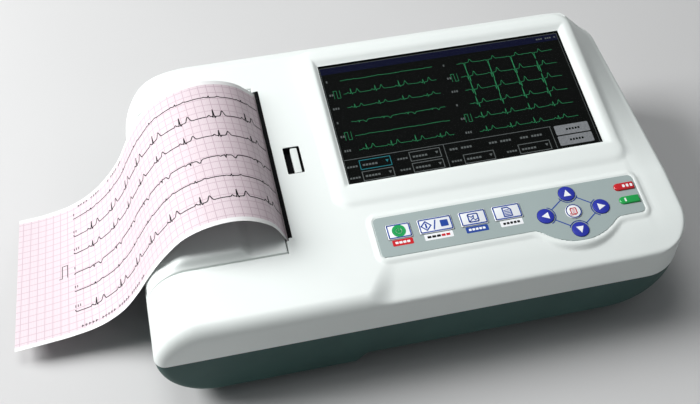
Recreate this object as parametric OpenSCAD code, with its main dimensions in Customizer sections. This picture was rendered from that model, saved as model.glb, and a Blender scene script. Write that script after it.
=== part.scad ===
// Portable six-channel electrocardiograph with a built-in strip printer.
// X runs along the front edge to the right, Y to the rear, Z up.
// The origin is the middle of the flat underside, which lies on z = 0.

/* [Case] */
// Width of the case along X
case_w = 319; // [318:0.5:320]
// Depth of the case along Y
case_d = 194; // [193:0.5:195]
// Height of the joint between the white top and the dark base
split_z = 34; // [33:0.5:35]
// Height of the sloping deck above the middle of the underside
deck_h = 69.1; // [68.6:0.1:69.6]
// Slope of the deck towards the operator, in degrees
deck_tilt = 6; // [5.8:0.1:6.2]
// Wall thickness of the mouldings
wall = 2.5; // [2.3:0.1:2.6]
// Depth of the paper well below the flat underside
sump = 7; // [6.5:0.5:7.5]

/* [Display] */
// Width of the visible screen
screen_w = 160; // [158:0.5:161]
// Height of the visible screen
screen_h = 90; // [88:0.5:91]
// Slope of the screen towards the operator, in degrees
screen_tilt = 8.5; // [8.2:0.1:8.8]

/* [Printer] */
// Width of the chart paper
paper_w = 110; // [108:0.5:110]
// Radius of the paper roll
roll_r = 24; // [18:0.5:24.5]
// Radius of the rubber platen
platen_r = 6; // [5.5:0.1:6]

/* [Keypad] */
// Height of a key above the keypad overlay
key_rise = 0.5; // [0.3:0.1:0.7]
// Radius of the round arrow keys
arrow_r = 5; // [4.5:0.1:5.2]

/* [Hidden] */

white = [0.93, 0.95, 0.94];
paper_pink = [0.96, 0.9, 0.92];
dark = [0.15, 0.23, 0.23];
grey = [0.62, 0.67, 0.67];
steel = [0.72, 0.73, 0.75];
black = [0.07, 0.07, 0.08];
board_green = [0.08, 0.32, 0.2];
eps = 0.01;

// ---- case outline -------------------------------------------------------
front_y = -case_d / 2;
rear_y = case_d / 2;
right_x = case_w / 2;
left_x = -case_w / 2;
rear_narrowing = 3;
round_left = 28;
flank_top_x = right_x - 19.6;
flank_edge_z = 62.5;
rear_chamfer_y = rear_y - 10;
function deck_z(y) = deck_h + tan(deck_tilt) * y;
function screen_z(y) = deck_h + 0.5 + tan(screen_tilt) * y;
// plan corner radii: front left, front right, rear
corner_fl = 7;
corner_fr = 28;
corner_rear = 20;
function inset_arc(d, r) = d >= r ? 0 : r - sqrt(r * r - (r - d) * (r - d));
function left_at(y) = left_x + rear_narrowing * (y - front_y) / case_d
    + inset_arc(y - front_y, corner_fl) + inset_arc(rear_y - y, corner_rear);
function right_at(y) = right_x
    - inset_arc(y - front_y, corner_fr) - inset_arc(rear_y - y, corner_rear);
// height of the top surface at y, with its rounded front edge and rear chamfer
edge_r = 6;
function top_at(y) = min(deck_z(y) - inset_arc(y - front_y, edge_r),
    deck_z(rear_chamfer_y) - 0.55 * (y - rear_chamfer_y));

// section of the top moulding at one y, grown inwards by t
module top_section(y, t) {
    xl = left_at(y) + t;
    xr = right_at(y) - t;
    zt = top_at(y) - t;
    ze = min(flank_edge_z, top_at(y) - 2) - t;
    a = round_left - 2;
    polygon(concat(
        [[xl, split_z - t]],
        [for (k = [0:9]) [xl + a - a * cos(k * 10), split_z + (zt - split_z) * sin(k * 10)]],
        [[min(flank_top_x, xr - 8), zt], [xr - 2.5, ze + 1.2], [xr, ze - 1.5], [xr, split_z - t]]));
}

module slab_at(y) {
    translate([0, y + eps, 0]) rotate([90, 0, 0]) linear_extrude(eps) children();
}

top_stations = [front_y, front_y + 1, front_y + 2.5, front_y + 6, front_y + 14,
    front_y + 28, rear_y - 20, rear_y - 10, rear_y - 5, rear_y - 2, rear_y - eps];
inner_stations = [front_y + wall, front_y + 6, front_y + 14, front_y + 28,
    rear_y - 20, rear_y - 10, rear_y - 5, rear_y - wall];

module top_outer() {
    hull() for (y = top_stations) slab_at(y) top_section(y, 0);
}
module top_inner() {
    hull() for (y = inner_stations) slab_at(y) top_section(y, wall);
}

// section of the base moulding at one y: d is its depth below z = 0
base_round = 32;
module base_section(y, d, x0, x1, t) {
    rise = 0.5 * inset_arc(y - front_y, 22) + inset_arc(rear_y - y, 8);
    zb = -d + t + rise;
    xl = max(x0, left_at(y) + t);
    xr = min(x1, right_at(y) - t);
    a = x0 < left_x ? base_round : 6;
    b = x1 > right_x ? base_round - 4 : 6;
    polygon(concat(
        [[xl, split_z + t]],
        [for (k = [0:9]) [xl + a - a * cos(k * 10), split_z - (split_z - zb) * sin(k * 10)]],
        [for (k = [9:-1:0]) [xr - b + b * cos(k * 10), split_z - (split_z - zb) * sin(k * 10)]],
        [[xr, split_z + t]]));
}
base_stations = [front_y, front_y + 1.5, front_y + 4, front_y + 9, front_y + 22,
    rear_y - 20, rear_y - 8, rear_y - 3, rear_y - eps];
well_x1 = -37;
floor_x0 = -62;
module base_well(t) {
    hull() for (y = base_stations)
        slab_at(max(front_y + t, min(rear_y - t, y)))
            base_section(y, sump, left_x - 10, well_x1 - t, t);
}
module base_floor(t) {
    hull() for (y = base_stations)
        slab_at(max(front_y + t, min(rear_y - t, y)))
            base_section(y, 0, floor_x0, right_x + 10, t);
}

// ---- frames of the two sloping planes -----------------------------------
// deck frame: u is X, v runs up the slope, n is the height above the deck
module on_deck() {
    translate([0, 0, deck_h]) rotate([deck_tilt, 0, 0]) children();
}
module on_screen() {
    translate([0, 0, deck_h + 0.5]) rotate([screen_tilt, 0, 0]) children();
}
// a solid drawn in the (u, n) plane and extended from v0 to v1
module along_v(v0, v1) {
    translate([0, v1, 0]) rotate([90, 0, 0]) linear_extrude(v1 - v0) children();
}
module box(a, b) {
    translate(a) cube([b[0] - a[0], b[1] - a[1], b[2] - a[2]]);
}
module rounded_rect(x0, y0, x1, y1, r) {
    corners = [[x1 - r, y1 - r, 0], [x0 + r, y1 - r, 90],
               [x0 + r, y0 + r, 180], [x1 - r, y0 + r, 270]];
    polygon([for (c = corners, k = [0:6])
        [c[0] + r * cos(c[2] + 15 * k), c[1] + r * sin(c[2] + 15 * k)]]);
}

// ---- screen -------------------------------------------------------------
screen_x0 = -31.3;
screen_v0 = -17.4;
bezel_x0 = -41;
bezel_x1 = 139;
bezel_v0 = -31;
bezel_v1 = 86;
bezel_rise = 2;

module bezel_block() {
    on_screen() hull() {
        translate([0, 0, bezel_rise - eps]) linear_extrude(eps)
            rounded_rect(bezel_x0, bezel_v0, bezel_x1, bezel_v1, 9);
        translate([0, 0, bezel_rise - 8]) linear_extrude(eps)
            rounded_rect(bezel_x0 - 4, bezel_v0 - 8, bezel_x1 + 1, bezel_v1 + 1, 9);
    }
}
module screen_opening() {
    on_screen() hull() {
        translate([screen_x0, screen_v0, -eps]) cube([screen_w, screen_h, eps]);
        translate([screen_x0 - 3, screen_v0 - 2, bezel_rise])
            cube([screen_w + 8.5, screen_h + 7, 1]);
    }
}
module screen_pocket() {
    on_screen() box([screen_x0 - 5, screen_v0 - 5, -14],
        [screen_x0 + screen_w + 5, screen_v0 + screen_h + 5, 0]);
}
module screen_window() {
    color("black", 0.9) on_screen() box([screen_x0 - 4.5, screen_v0 - 4.5, -1.5],
        [screen_x0 + screen_w + 4.5, screen_v0 + screen_h + 4.5, 0]);
}
module lcd_panel() {
    color([0.1, 0.12, 0.2]) on_screen() box([screen_x0 - 3, screen_v0 - 3, -4.5],
        [screen_x0 + screen_w + 3, screen_v0 + screen_h + 3, -1.5]);
}
module lcd_frame() {
    color(steel) on_screen() difference() {
        box([screen_x0 - 4.5, screen_v0 - 4.5, -8],
            [screen_x0 + screen_w + 4.5, screen_v0 + screen_h + 4.5, -2]);
        box([screen_x0 - 3, screen_v0 - 3, -4.5],
            [screen_x0 + screen_w + 3, screen_v0 + screen_h + 3, -1]);
        for (i = [0:3]) box([screen_x0 + 12 + 37 * i, screen_v0 + 15, -9],
            [screen_x0 + 37 + 37 * i, screen_v0 + 70, -6.5]);
    }
}

// ---- keypad -------------------------------------------------------------
pad_x0 = -24;
pad_x1 = 136;
pad_v0 = -70.8;
pad_v1 = -43.8;
lobe_x = 93.2;
lobe_v = -50.6;
lobe_r = 31.6;
overlay_t = 0.6;
key_gap = 0.25;
key_row_v = -55;
key_row_h = 10;
// centre and width of the four rectangular keys
key_x = [-10.6, 11.2, 34, 54.7];
key_w = [14.4, 20.4, 16.2, 17];
nav_x = 93.3;
nav_v = -62.4;
arrow_dx = 17.2;
arrow_dv = 12.7;
arrow_at = [[nav_x, nav_v + arrow_dv], [nav_x - arrow_dx, nav_v],
            [nav_x + arrow_dx, nav_v], [nav_x, nav_v - arrow_dv], [nav_x, nav_v]];
led_x0 = 125;
led_v = [-51.6, -61.2];

module overlay_outline(grow) {
    offset(r = grow, $fn = 32) union() {
        rounded_rect(pad_x0, pad_v0, pad_x1, pad_v1, 3);
        intersection() {
            translate([lobe_x, lobe_v]) circle(lobe_r, $fn = 96);
            translate([lobe_x - 40, pad_v0 - 20]) square([80, 30]);
        }
    }
}
module key_bar(i, grow) {
    translate([key_x[i] - key_w[i] / 2 - grow, key_row_v - key_row_h / 2 - grow])
        square([key_w[i] + 2 * grow, key_row_h + 2 * grow]);
}
module all_keys_2d(grow) {
    for (i = [0:3]) key_bar(i, grow);
    for (p = arrow_at) translate(p) circle(arrow_r + grow, $fn = 48);
}
module led_2d(i, grow) {
    translate([led_x0, led_v[i]]) {
        circle(2.6 + grow, $fn = 32);
        translate([0, -2.6 - grow]) square([pad_x1 - led_x0 - 1 + grow, 5.2 + 2 * grow]);
    }
}
module all_stems_2d(grow) {
    for (i = [0:3]) translate([key_x[i], key_row_v]) circle(2.2 + grow, $fn = 32);
    for (p = arrow_at) translate(p) circle(2.2 + grow, $fn = 32);
}
module keypad_overlay() {
    color(grey) on_deck() translate([0, 0, 0.2]) linear_extrude(overlay_t) difference() {
        overlay_outline(-0.1);
        all_keys_2d(key_gap);
        for (i = [0, 1]) led_2d(i, 0.1);
    }
}
module keypad_board() {
    color(board_green) on_deck() {
        box([pad_x0 + 2, -77, -7.2], [pad_x1 - 1, pad_v1 - 2, -5.6]);
        translate([0, 0, -5.6]) linear_extrude(0.4) all_stems_2d(0.4);
        for (v = led_v) box([led_x0, v - 1.5, -5.6], [led_x0 + 4, v + 1.5, -4.4]);
    }
}
module key_cap() {
    on_deck() {
        translate([0, 0, 0]) linear_extrude(0.2 + overlay_t + key_rise) children(0);
        translate([0, 0, -4.6]) linear_extrude(4.6) children(1);
    }
}
module bar_key(i, tint) {
    color(tint) key_cap() {
        key_bar(i, 0);
        translate([key_x[i], key_row_v]) circle(2.2, $fn = 32);
    }
}
module round_key(i, tint) {
    color(tint) key_cap() {
        translate(arrow_at[i]) circle(arrow_r, $fn = 48);
        translate(arrow_at[i]) circle(2.2, $fn = 32);
    }
}
module key_power() { bar_key(0, [0.2, 0.65, 0.3]); }
module key_start_stop() { bar_key(1, white); }
module key_mode() { bar_key(2, white); }
module key_print() { bar_key(3, white); }
module key_up() { round_key(0, [0.12, 0.16, 0.62]); }
module key_left() { round_key(1, [0.12, 0.16, 0.62]); }
module key_right() { round_key(2, [0.12, 0.16, 0.62]); }
module key_down() { round_key(3, [0.12, 0.16, 0.62]); }
module key_center() { round_key(4, white); }
module led_window(i, tint) {
    color(tint) on_deck() {
        translate([0, 0, -1]) linear_extrude(1 + overlay_t + 0.3) led_2d(i, 0);
        translate([led_x0 + 2, led_v[i], -4.2]) cylinder(h = 3.4, r = 1.4, $fn = 24);
    }
}
module led_window_red() { led_window(0, [0.7, 0.1, 0.12]); }
module led_window_green() { led_window(1, [0.1, 0.6, 0.25]); }

// ---- printer cover opening ----------------------------------------------
cover_y0 = -55.1;
cover_y1 = 65.6;
cover_u1 = -75.6;
cover_skirt_z = 43.5;
strip_wall_z = 37.6;
cover_gap = 0.5;
paper_v0 = -47.3;
paper_v1 = paper_v0 + paper_w;
slot_v0 = paper_v0 + 1;
slot_v1 = paper_v1 + 0.7;
tear_u0 = -73.4;
tear_u1 = -71.2;
pin_x = -152.8;
pin_z = 43;
pin_r = 1.5;
knuckle_r = 2.9;
shell_knuckles = [[-34, -20], [30, 44]];
cover_knuckles = [[-50, -36.5], [46.5, 60]];
latch_u0 = -64.8;
latch_u1 = -54.7;
latch_v0 = -2.6;
latch_v1 = 17.1;

screw_at = [[-66, -86], [-66, 86], [20, -86], [44, 86], [142, -84], [143, 84]];
screw_r = 1.5;
screw_head_r = 2.8;
screw_seat_z = 26;
screw_top_z = 46;

module scoop() {
    z0 = deck_z(-76.5);
    z1 = deck_z(front_y) - 5;
    low = [[-23, -76.5, z0], [-30.5, front_y - 2, z1], [right_x + 10, front_y - 2, z1],
           [right_x + 10, -76.5, z0 - 0.4]];
    high = [[-23, -76.5, z0 + 14], [-58, front_y - 2, z1 + 14], [right_x + 10, front_y - 2, z1 + 14],
            [right_x + 10, -76.5, z0 + 14]];
    hull() polyhedron(concat(low, high), [[0, 1, 2, 3], [7, 6, 5, 4], [0, 4, 5, 1],
        [1, 5, 6, 2], [2, 6, 7, 3], [3, 7, 4, 0]]);
}
module keypad_floor() {
    on_deck() translate([0, 0, -3.8]) linear_extrude(4.6) overlay_outline(3.2);
}
module keypad_cuts() {
    on_deck() {
        translate([0, 0, 0.2]) linear_extrude(5) overlay_outline(0);
        translate([0, 0, -0.8]) linear_extrude(5) all_keys_2d(key_gap);
        translate([0, 0, -5]) linear_extrude(9) all_stems_2d(0.3);
        for (i = [0, 1]) {
            translate([0, 0, -1]) linear_extrude(5) led_2d(i, 0.1);
            translate([led_x0 + 2, led_v[i], -5]) cylinder(h = 5, r = 1.5, $fn = 24);
        }
    }
}
module cover_opening() {
    box([left_x - 10, cover_y0 - cover_gap, strip_wall_z],
        [cover_u1 + cover_gap, cover_y1 + cover_gap, 120]);
    on_deck() {
        box([cover_u1 - 1, slot_v0, -20], [tear_u1, slot_v1, 20]);
        box([cover_u1 - 1, paper_v0 - 0.8, -20], [tear_u0, slot_v1, 20]);
    }
}
module top_shell() {
    color(white) difference() {
        union() {
            difference() {
                union() {
                    difference() {
                        union() {
                            top_outer();
                            bezel_block();
                        }
                        scoop();
                    }
                    keypad_floor();
                }
                difference() {
                    top_inner();
                    translate([0, 0, -wall]) scoop();
                    keypad_floor();
                    for (s = screw_at) translate([s[0], s[1], 36]) cylinder(h = 60, r = 4, $fn = 40);
                }
                keypad_cuts();
                screen_opening();
                screen_pocket();
                cover_opening();
                on_deck() box([latch_u0, latch_v0, -10], [latch_u1, latch_v1, 10]);
            }
            for (k = shell_knuckles) {
                box([-158, k[0], split_z], [-151, k[1], strip_wall_z]);
                box([-156, k[0], split_z], [-150.5, k[1], pin_z]);
                translate([pin_x, k[1], pin_z]) rotate([90, 0, 0])
                    cylinder(h = k[1] - k[0], r = knuckle_r, $fn = 40);
            }
        }
        for (s = screw_at) translate([s[0], s[1], 35]) cylinder(h = screw_top_z - 34, r = 1.6, $fn = 32);
        translate([pin_x, 60, pin_z]) rotate([90, 0, 0]) cylinder(h = 120, r = pin_r, $fn = 32);
    }
}

// ---- base ---------------------------------------------------------------
tall_foot_at = [[122, -68], [122, 72]];
low_foot_at = [[-112, -66], [-112, 72]];
foot_r = 9;
foot_drop = 9;
door = [[32, -80, 0], [108, -24, wall]];
door_screw_at = [[37, -52], [103, -52]];
vent_x = [for (i = [0:7]) -118 + 7 * i];
standoff_at = [[-44, -9], [-44, 69], [114, -9], [114, 69]];
board_z = 20;
inlet_x = -9;
inlet_z = 20;
rocker_x = 21.5;
rocker_z = 20.5;
rocker_y = rear_y - 4;
stud_x = -42;
stud_z = 20;
patient_x = 78;
network_x = 111;
usb_x = 129;
port_z = 18;

module base_tray() {
    color(dark) difference() {
        union() {
            base_well(0);
            base_floor(0);
        }
        difference() {
            union() {
                base_well(wall);
                base_floor(wall);
            }
            for (s = screw_at) translate([s[0], s[1], -20]) cylinder(h = 55, r = 5, $fn = 40);
            for (p = standoff_at) translate([p[0], p[1], -20]) cylinder(h = 20 + board_z, r = 3, $fn = 32);
            for (p = tall_foot_at) translate([p[0], p[1], -20]) cylinder(h = 24, r = foot_r + 2, $fn = 48);
            for (p = low_foot_at) translate([p[0], p[1], -20]) cylinder(h = 17, r = foot_r + 2, $fn = 48);
        }
        for (s = screw_at) {
            translate([s[0], s[1], -20]) cylinder(h = 20 + screw_seat_z, r = 3.3, $fn = 40);
            translate([s[0], s[1], 0]) cylinder(h = 40, r = 1.7, $fn = 32);
        }
        for (p = tall_foot_at) translate([p[0], p[1], -1]) cylinder(h = 2.5, r = foot_r, $fn = 48);
        for (p = low_foot_at) translate([p[0], p[1], -sump - 1]) cylinder(h = 2.5, r = foot_r, $fn = 48);
        box(door[0] - [0.3, 0.3, 1], door[1] + [0.3, 0.3, 1]);
        box([-25.2, 35.8, -1], [25.2, 65.2, 0.3]);
        for (x = vent_x) box([x, rear_y - 6, 12], [x + 2.4, rear_y + 2, 28]);
        box([inlet_x - 13.5, rear_y - 6, inlet_z - 9.5], [inlet_x + 13.5, rear_y + 2, inlet_z + 9.5]);
        box([rocker_x - 6.7, rear_y - 6, rocker_z - 9.8], [rocker_x + 6.7, rear_y + 2, rocker_z + 9.8]);
        translate([stud_x, rear_y + 2, stud_z]) rotate([90, 0, 0]) cylinder(h = 8, r = 3, $fn = 40);
        box([patient_x - 12.5, rear_y - 6, port_z - 5], [patient_x + 12.5, rear_y + 2, port_z + 5]);
        box([network_x - 8, rear_y - 6, port_z - 7], [network_x + 8, rear_y + 2, port_z + 7]);
        box([usb_x - 7.2, rear_y - 6, port_z - 3.6], [usb_x + 7.2, rear_y + 2, port_z + 3.6]);
    }
}
module tall_feet() {
    color(black) for (p = tall_foot_at) translate([p[0], p[1], -foot_drop])
        cylinder(h = foot_drop + 1.5, r = foot_r - 0.02, $fn = 48);
}
module low_feet() {
    color(black) for (p = low_foot_at) translate([p[0], p[1], -foot_drop])
        cylinder(h = foot_drop - sump + 1.5, r = foot_r - 0.02, $fn = 48);
}
module case_screws() {
    color(steel) for (s = screw_at) translate([s[0], s[1], screw_seat_z - 2.5]) difference() {
        union() {
            cylinder(h = 2.5, r = screw_head_r, $fn = 32);
            translate([0, 0, 2.5]) cylinder(h = screw_top_z - screw_seat_z - 1, r = screw_r, $fn = 32);
        }
        for (a = [0, 90]) rotate(a) box([-1.8, -0.35, -1], [1.8, 0.35, 1.3]);
    }
}
module battery_door() {
    color(dark) difference() {
        union() {
            box(door[0], door[1]);
            box(door[0] + [-2, 20, wall], [door[0][0] + 6, door[1][1] - 20, wall + 1.5]);
            box([door[1][0] - 6, door[0][1] + 20, wall], door[1] + [2, -20, 1.5]);
        }
        for (p = door_screw_at) {
            translate([p[0], p[1], -1]) cylinder(h = 2.4, r = 3, $fn = 32);
            translate([p[0], p[1], 0]) cylinder(h = 6, r = 1.6, $fn = 32);
        }
        for (i = [0:4]) box([64, -74 + 2.4 * i, -1], [76, -73 + 2.4 * i, 0.5]);
    }
}
module door_screws() {
    color(steel) for (p = door_screw_at) translate([p[0], p[1], 0.3]) difference() {
        union() {
            cylinder(h = 1.1, r = 2.7, $fn = 32);
            cylinder(h = 3.4, r = screw_r, $fn = 32);
        }
        for (a = [0, 90]) rotate(a) box([-1.6, -0.3, -1], [1.6, 0.3, 0.6]);
    }
}
module battery_pack() {
    color([0.2, 0.3, 0.6]) for (i = [0:2]) translate([37, -70.4 + 18.4 * i, 13.4]) rotate([0, 90, 0])
        cylinder(h = 65, r = 9.1, $fn = 48);
}
module rating_plate() {
    color(steel) box([-25, 36, 0], [25, 65, 0.3]);
}

// ---- circuit boards -----------------------------------------------------
module main_board() {
    color(board_green) {
        box([-48, -13, board_z], [118, 73, board_z + 1.6]);
        box([-10, 20, board_z + 1.6], [14, 44, board_z + 3.6]);
        box([30, 10, board_z + 1.6], [42, 30, board_z + 3]);
        box([60, 50, board_z + 1.6], [96, 62, board_z + 8]);
        for (i = [0:4]) translate([-36 + 12 * i, -4, board_z + 1.6]) cylinder(h = 9, r = 3.5, $fn = 32);
        box([-44, 30, board_z + 1.6], [-38, 60, board_z + 9]);
        box([100, -8, board_z + 1.6], [114, 20, board_z + 10]);
    }
}
module power_board() {
    color([0.45, 0.38, 0.2]) {
        box([-34, -76, 8], [28, -20, 9.6]);
        box([-28, -66, 9.6], [-4, -40, 32]);
        for (i = [0:2]) translate([5 + 9 * i, -66, 9.6]) cylinder(h = 20, r = 4, $fn = 32);
        box([4, -50, 9.6], [26, -46, 30]);
        for (x = [-31, 25], y = [-72, -23])
            translate([x, y, wall]) cylinder(h = 8 - wall, r = 2.5, $fn = 32);
    }
}
module speaker() {
    color(black) translate([112, 26, wall]) {
        cylinder(h = 3, r = 14, $fn = 48);
        translate([0, 0, 3]) cylinder(h = 5, r = 8, $fn = 48);
    }
}

// ---- rear panel fittings ------------------------------------------------
module rear_box(x, z, w, h, y0, y1) {
    box([x - w / 2, y0, z - h / 2], [x + w / 2, y1, z + h / 2]);
}
module mains_inlet() {
    color(black) difference() {
        union() {
            rear_box(inlet_x, inlet_z, 30, 22.5, rear_y, rear_y + 2.2);
            rear_box(inlet_x, inlet_z, 27, 19, rear_y - 17, rear_y + 1);
        }
        rear_box(inlet_x, inlet_z, 24.5, 16.5, rear_y - 15, rear_y + 3);
    }
    color(steel) for (p = [[-7, -1.5], [0, 2.5], [7, -1.5]])
        rear_box(inlet_x + p[0], inlet_z + p[1], 2, 4, rear_y - 16, rear_y - 2.4);
}
module rocker_housing() {
    color(black) difference() {
        union() {
            rear_box(rocker_x, rocker_z, 15.5, 21.5, rear_y, rear_y + 2);
            rear_box(rocker_x, rocker_z, 13.4, 19.6, rear_y - 14, rear_y + 1);
        }
        translate([rocker_x - 5.6, rocker_y, rocker_z]) rotate([0, 90, 0])
            cylinder(h = 11.2, r = 8.9, $fn = 64);
        translate([rocker_x - 7, rocker_y, rocker_z]) rotate([0, 90, 0])
            cylinder(h = 14, r = 1.05, $fn = 24);
    }
}
// the button is drawn with its lower half pressed in
module rocker_button() {
    color([0.1, 0.1, 0.11]) {
        translate([rocker_x - 5.2, rocker_y, rocker_z]) rotate([-8, 0, 0]) rotate([90, 0, 90])
            linear_extrude(10.4) intersection() {
                circle(8.5, $fn = 64);
                polygon([[-6, -9], [5.2, -9], [6.6, 0], [5.2, 9], [-6, 9]]);
            }
        translate([rocker_x - 6.7, rocker_y, rocker_z]) rotate([0, 90, 0])
            cylinder(h = 13.4, r = 1, $fn = 24);
    }
}
module ground_stud() {
    color([0.8, 0.68, 0.35]) {
        translate([stud_x, rear_y + 11, stud_z]) rotate([90, 0, 0]) cylinder(h = 22, r = 3, $fn = 48);
        translate([stud_x, rear_y + 2, stud_z]) rotate([90, 0, 0]) cylinder(h = 2, r = 6, $fn = 6);
        translate([stud_x, rear_y - wall, stud_z]) rotate([90, 0, 0]) cylinder(h = 3, r = 6, $fn = 6);
    }
}
module patient_connector() {
    color(steel) difference() {
        union() {
            rear_box(patient_x, port_z, 39, 12.5, rear_y, rear_y + 1);
            rear_box(patient_x, port_z, 24.8, 9.8, rear_y - 11, rear_y + 0.5);
            rear_box(patient_x, port_z, 25, 8.4, rear_y, rear_y + 6);
            for (s = [-1, 1]) translate([patient_x + s * 16.6, rear_y + 5, port_z]) rotate([90, 0, 0])
                cylinder(h = 5, r = 2.8, $fn = 6);
        }
        for (i = [0:7]) translate([patient_x - 9.7 + 2.77 * i, rear_y + 7, port_z + 1.4])
            rotate([90, 0, 0]) cylinder(h = 6, r = 0.6, $fn = 16);
        for (i = [0:6]) translate([patient_x - 8.3 + 2.77 * i, rear_y + 7, port_z - 1.4])
            rotate([90, 0, 0]) cylinder(h = 6, r = 0.6, $fn = 16);
    }
}
module network_port() {
    color(steel) difference() {
        rear_box(network_x, port_z, 15.8, 13.8, rear_y - 15, rear_y + 0.6);
        rear_box(network_x, port_z, 12, 8.4, rear_y - 13, rear_y + 2);
    }
}
module usb_port() {
    color(steel) difference() {
        rear_box(usb_x, port_z, 14.2, 7, rear_y - 15, rear_y + 0.6);
        rear_box(usb_x, port_z, 12.6, 5.4, rear_y - 13, rear_y + 2);
    }
    color(white) rear_box(usb_x, port_z + 1.2, 11, 1.6, rear_y - 13.5, rear_y - 2);
}

// ---- printer mechanism --------------------------------------------------
platen = [-80.2, -11.5];
gear_m = 0.5;
platen_teeth = 16;
idler_teeth = 32;
pinion_teeth = 12;
mesh_1 = -60;
mesh_2 = -80;
function along(p, r, a) = [p[0] + r * cos(a), p[1] + r * sin(a)];
idler = along(platen, gear_m * (platen_teeth + idler_teeth) / 2, mesh_1);
pinion = along(idler, gear_m * (idler_teeth + pinion_teeth) / 2, mesh_2);
gear_v0 = -54.6;
gear_v1 = -51.2;
roll = [-118, -38];
head_u = -73.6;
head_pin = [-69, -18.8];
shaft_r = 2.5;
backlash = 0.12;
function involute(a) = tan(a) - a * PI / 180;
// half the angle of a tooth, in degrees, at radius r of a gear with z teeth
function half_tooth(z, r) = let (rb = gear_m * z / 2 * cos(20))
    (PI / 2 - backlash / gear_m) / z * 180 / PI
    + (involute(20) - involute(r > rb ? acos(rb / r) : 0)) * 180 / PI;
module gear_2d(z, phase) {
    rp = gear_m * z / 2;
    radii = [rp - 1.2 * gear_m, rp - 0.6 * gear_m, rp, rp + 0.5 * gear_m, rp + gear_m];
    flank = [0, 1, 2, 3, 4];
    polygon([for (i = [0:z - 1]) each concat(
        [for (k = flank) along([0, 0], radii[k], phase + i * 360 / z - half_tooth(z, radii[k]))],
        [for (k = flank) along([0, 0], radii[4 - k], phase + i * 360 / z + half_tooth(z, radii[4 - k]))])]);
}
platen_phase = mesh_1;
idler_phase = mesh_1 + 180 + 180 / idler_teeth;
idler_lead = idler_phase - mesh_2;
pinion_phase = mesh_2 + 180 - idler_lead * idler_teeth / pinion_teeth + 180 / pinion_teeth;

module rod(p, r, v0, v1, f = 48) {
    on_deck() translate([p[0], v1, p[1]]) rotate([90, 0, 0]) cylinder(h = v1 - v0, r = r, $fn = f);
}
module platen_roller() {
    color(black) difference() {
        rod(platen, platen_r, paper_v0, paper_v1, 96);
        rod(platen, shaft_r, paper_v0 - 1, paper_v1 + 1);
    }
}
module platen_shaft() {
    color(steel) rod(platen, shaft_r, gear_v0 - 0.3, rear_lug[1]);
}
module platen_gear() {
    color(white) difference() {
        on_deck() along_v(gear_v0, gear_v1) translate(platen) gear_2d(platen_teeth, platen_phase);
        rod(platen, shaft_r, -60, -45);
    }
}
front_lug = [-50.6, -48.4];
rear_lug = [62.9, 64.4];
bush_r = 3.4;
shaft_gap = 0.05;
module platen_bushings() {
    color([0.8, 0.7, 0.4]) for (l = [front_lug, rear_lug]) difference() {
        rod(platen, bush_r, l[0], l[1]);
        rod(platen, shaft_r + shaft_gap, l[0] - 1, l[1] + 1);
    }
}
module idler_gear() {
    color(white) difference() {
        on_deck() along_v(gear_v0, gear_v1) translate(idler) gear_2d(idler_teeth, idler_phase);
        rod(idler, 1.5 + shaft_gap, -60, -45);
    }
}
module idler_shaft() {
    color(steel) rod(idler, 1.5, gear_v0 - 0.6, -48.8);
}
module motor_pinion() {
    color([0.8, 0.7, 0.4]) {
        difference() {
            on_deck() along_v(gear_v0, gear_v1) translate(pinion) gear_2d(pinion_teeth, pinion_phase);
            rod(pinion, 1, -60, -45);
        }
        rod(pinion, 1, gear_v0 - 0.4, -49);
    }
}
module stepper_motor() {
    color(steel) difference() {
        union() {
            rod(pinion, 11.9, -48.7, -30);
            rod(pinion, 4, -50.1, -48.7);
        }
        rod(pinion, 1.05, -60, -46);
    }
}
module print_head() {
    color([0.85, 0.84, 0.8]) on_deck() box([head_u, -46.5, -16], [head_u + 1.2, 62, -8]);
}
module head_heatsink() {
    color(steel) difference() {
        on_deck() {
            box([head_u + 1.2, paper_v0, -17], [-66.5, 62.7, -7.6]);
            for (v = [-26, 57]) box([-71, v, -20.4], [-67, v + 5, -16.5]);
        }
        rod(head_pin, 1.55, -60, 70);
        for (i = [0:11]) on_deck() box([-68, -42 + 8.6 * i, -18], [-66, -38 + 8.6 * i, -7]);
    }
}
module head_pivot() {
    color(steel) rod(head_pin, 1.5, -50.2, 64.9);
}
module coil_along_u(p, v, u0, u1, r, wire) {
    turns = floor((u1 - u0) / (wire * 1.7));
    on_deck() for (i = [0:turns - 1]) translate([u0 + wire + i * (u1 - u0 - 2 * wire) / (turns - 1), v, p])
        rotate([0, 90, 0]) rotate_extrude($fn = 32) translate([r - wire, 0]) circle(wire, $fn = 13);
}
module head_springs() {
    color(steel) for (v = [-18, 34]) {
        coil_along_u(-11.5, v, -65.4, -58.5, 2.8, 0.45);
        on_deck() translate([-65.2, v + 2.35, -11.5]) rotate([0, 90, 0])
            cylinder(h = 6.7, r = 0.4, $fn = 16);
    }
}
module printer_frame() {
    color(steel) difference() {
        union() {
            on_deck() {
                along_v(-50.2, -48.7) polygon([[-84, -46], [-57, -46], [-57, -7.6], [-73, -7.6],
                    [-74.5, -18], [-84, -18]]);
                along_v(63.4, 64.9) polygon([[-74, -24], [-57, -24], [-57, -7.6], [-73, -7.6]]);
                box([-58.5, -50.2, -24], [-57, 64.9, -7.6]);
            }
            box([-61, -48, wall], [-55, -43, 24]);
            box([-61, 59, wall], [-55, 64, 52]);
            on_deck() box([-60, -48.8, -46], [-57, -43, -8]);
        }
        rod(head_pin, 1.5, -60, 70);
        rod(idler, 1.5, -60, -40);
        rod(pinion, 4, -60, -48.6);
        for (s = screw_at) translate([s[0], s[1], 0]) cylinder(h = 80, r = 5.5);
    }
}
bin_in = roll_r + 2.7;
bin_out = bin_in + 1.5;
bin_top = -24;
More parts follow.
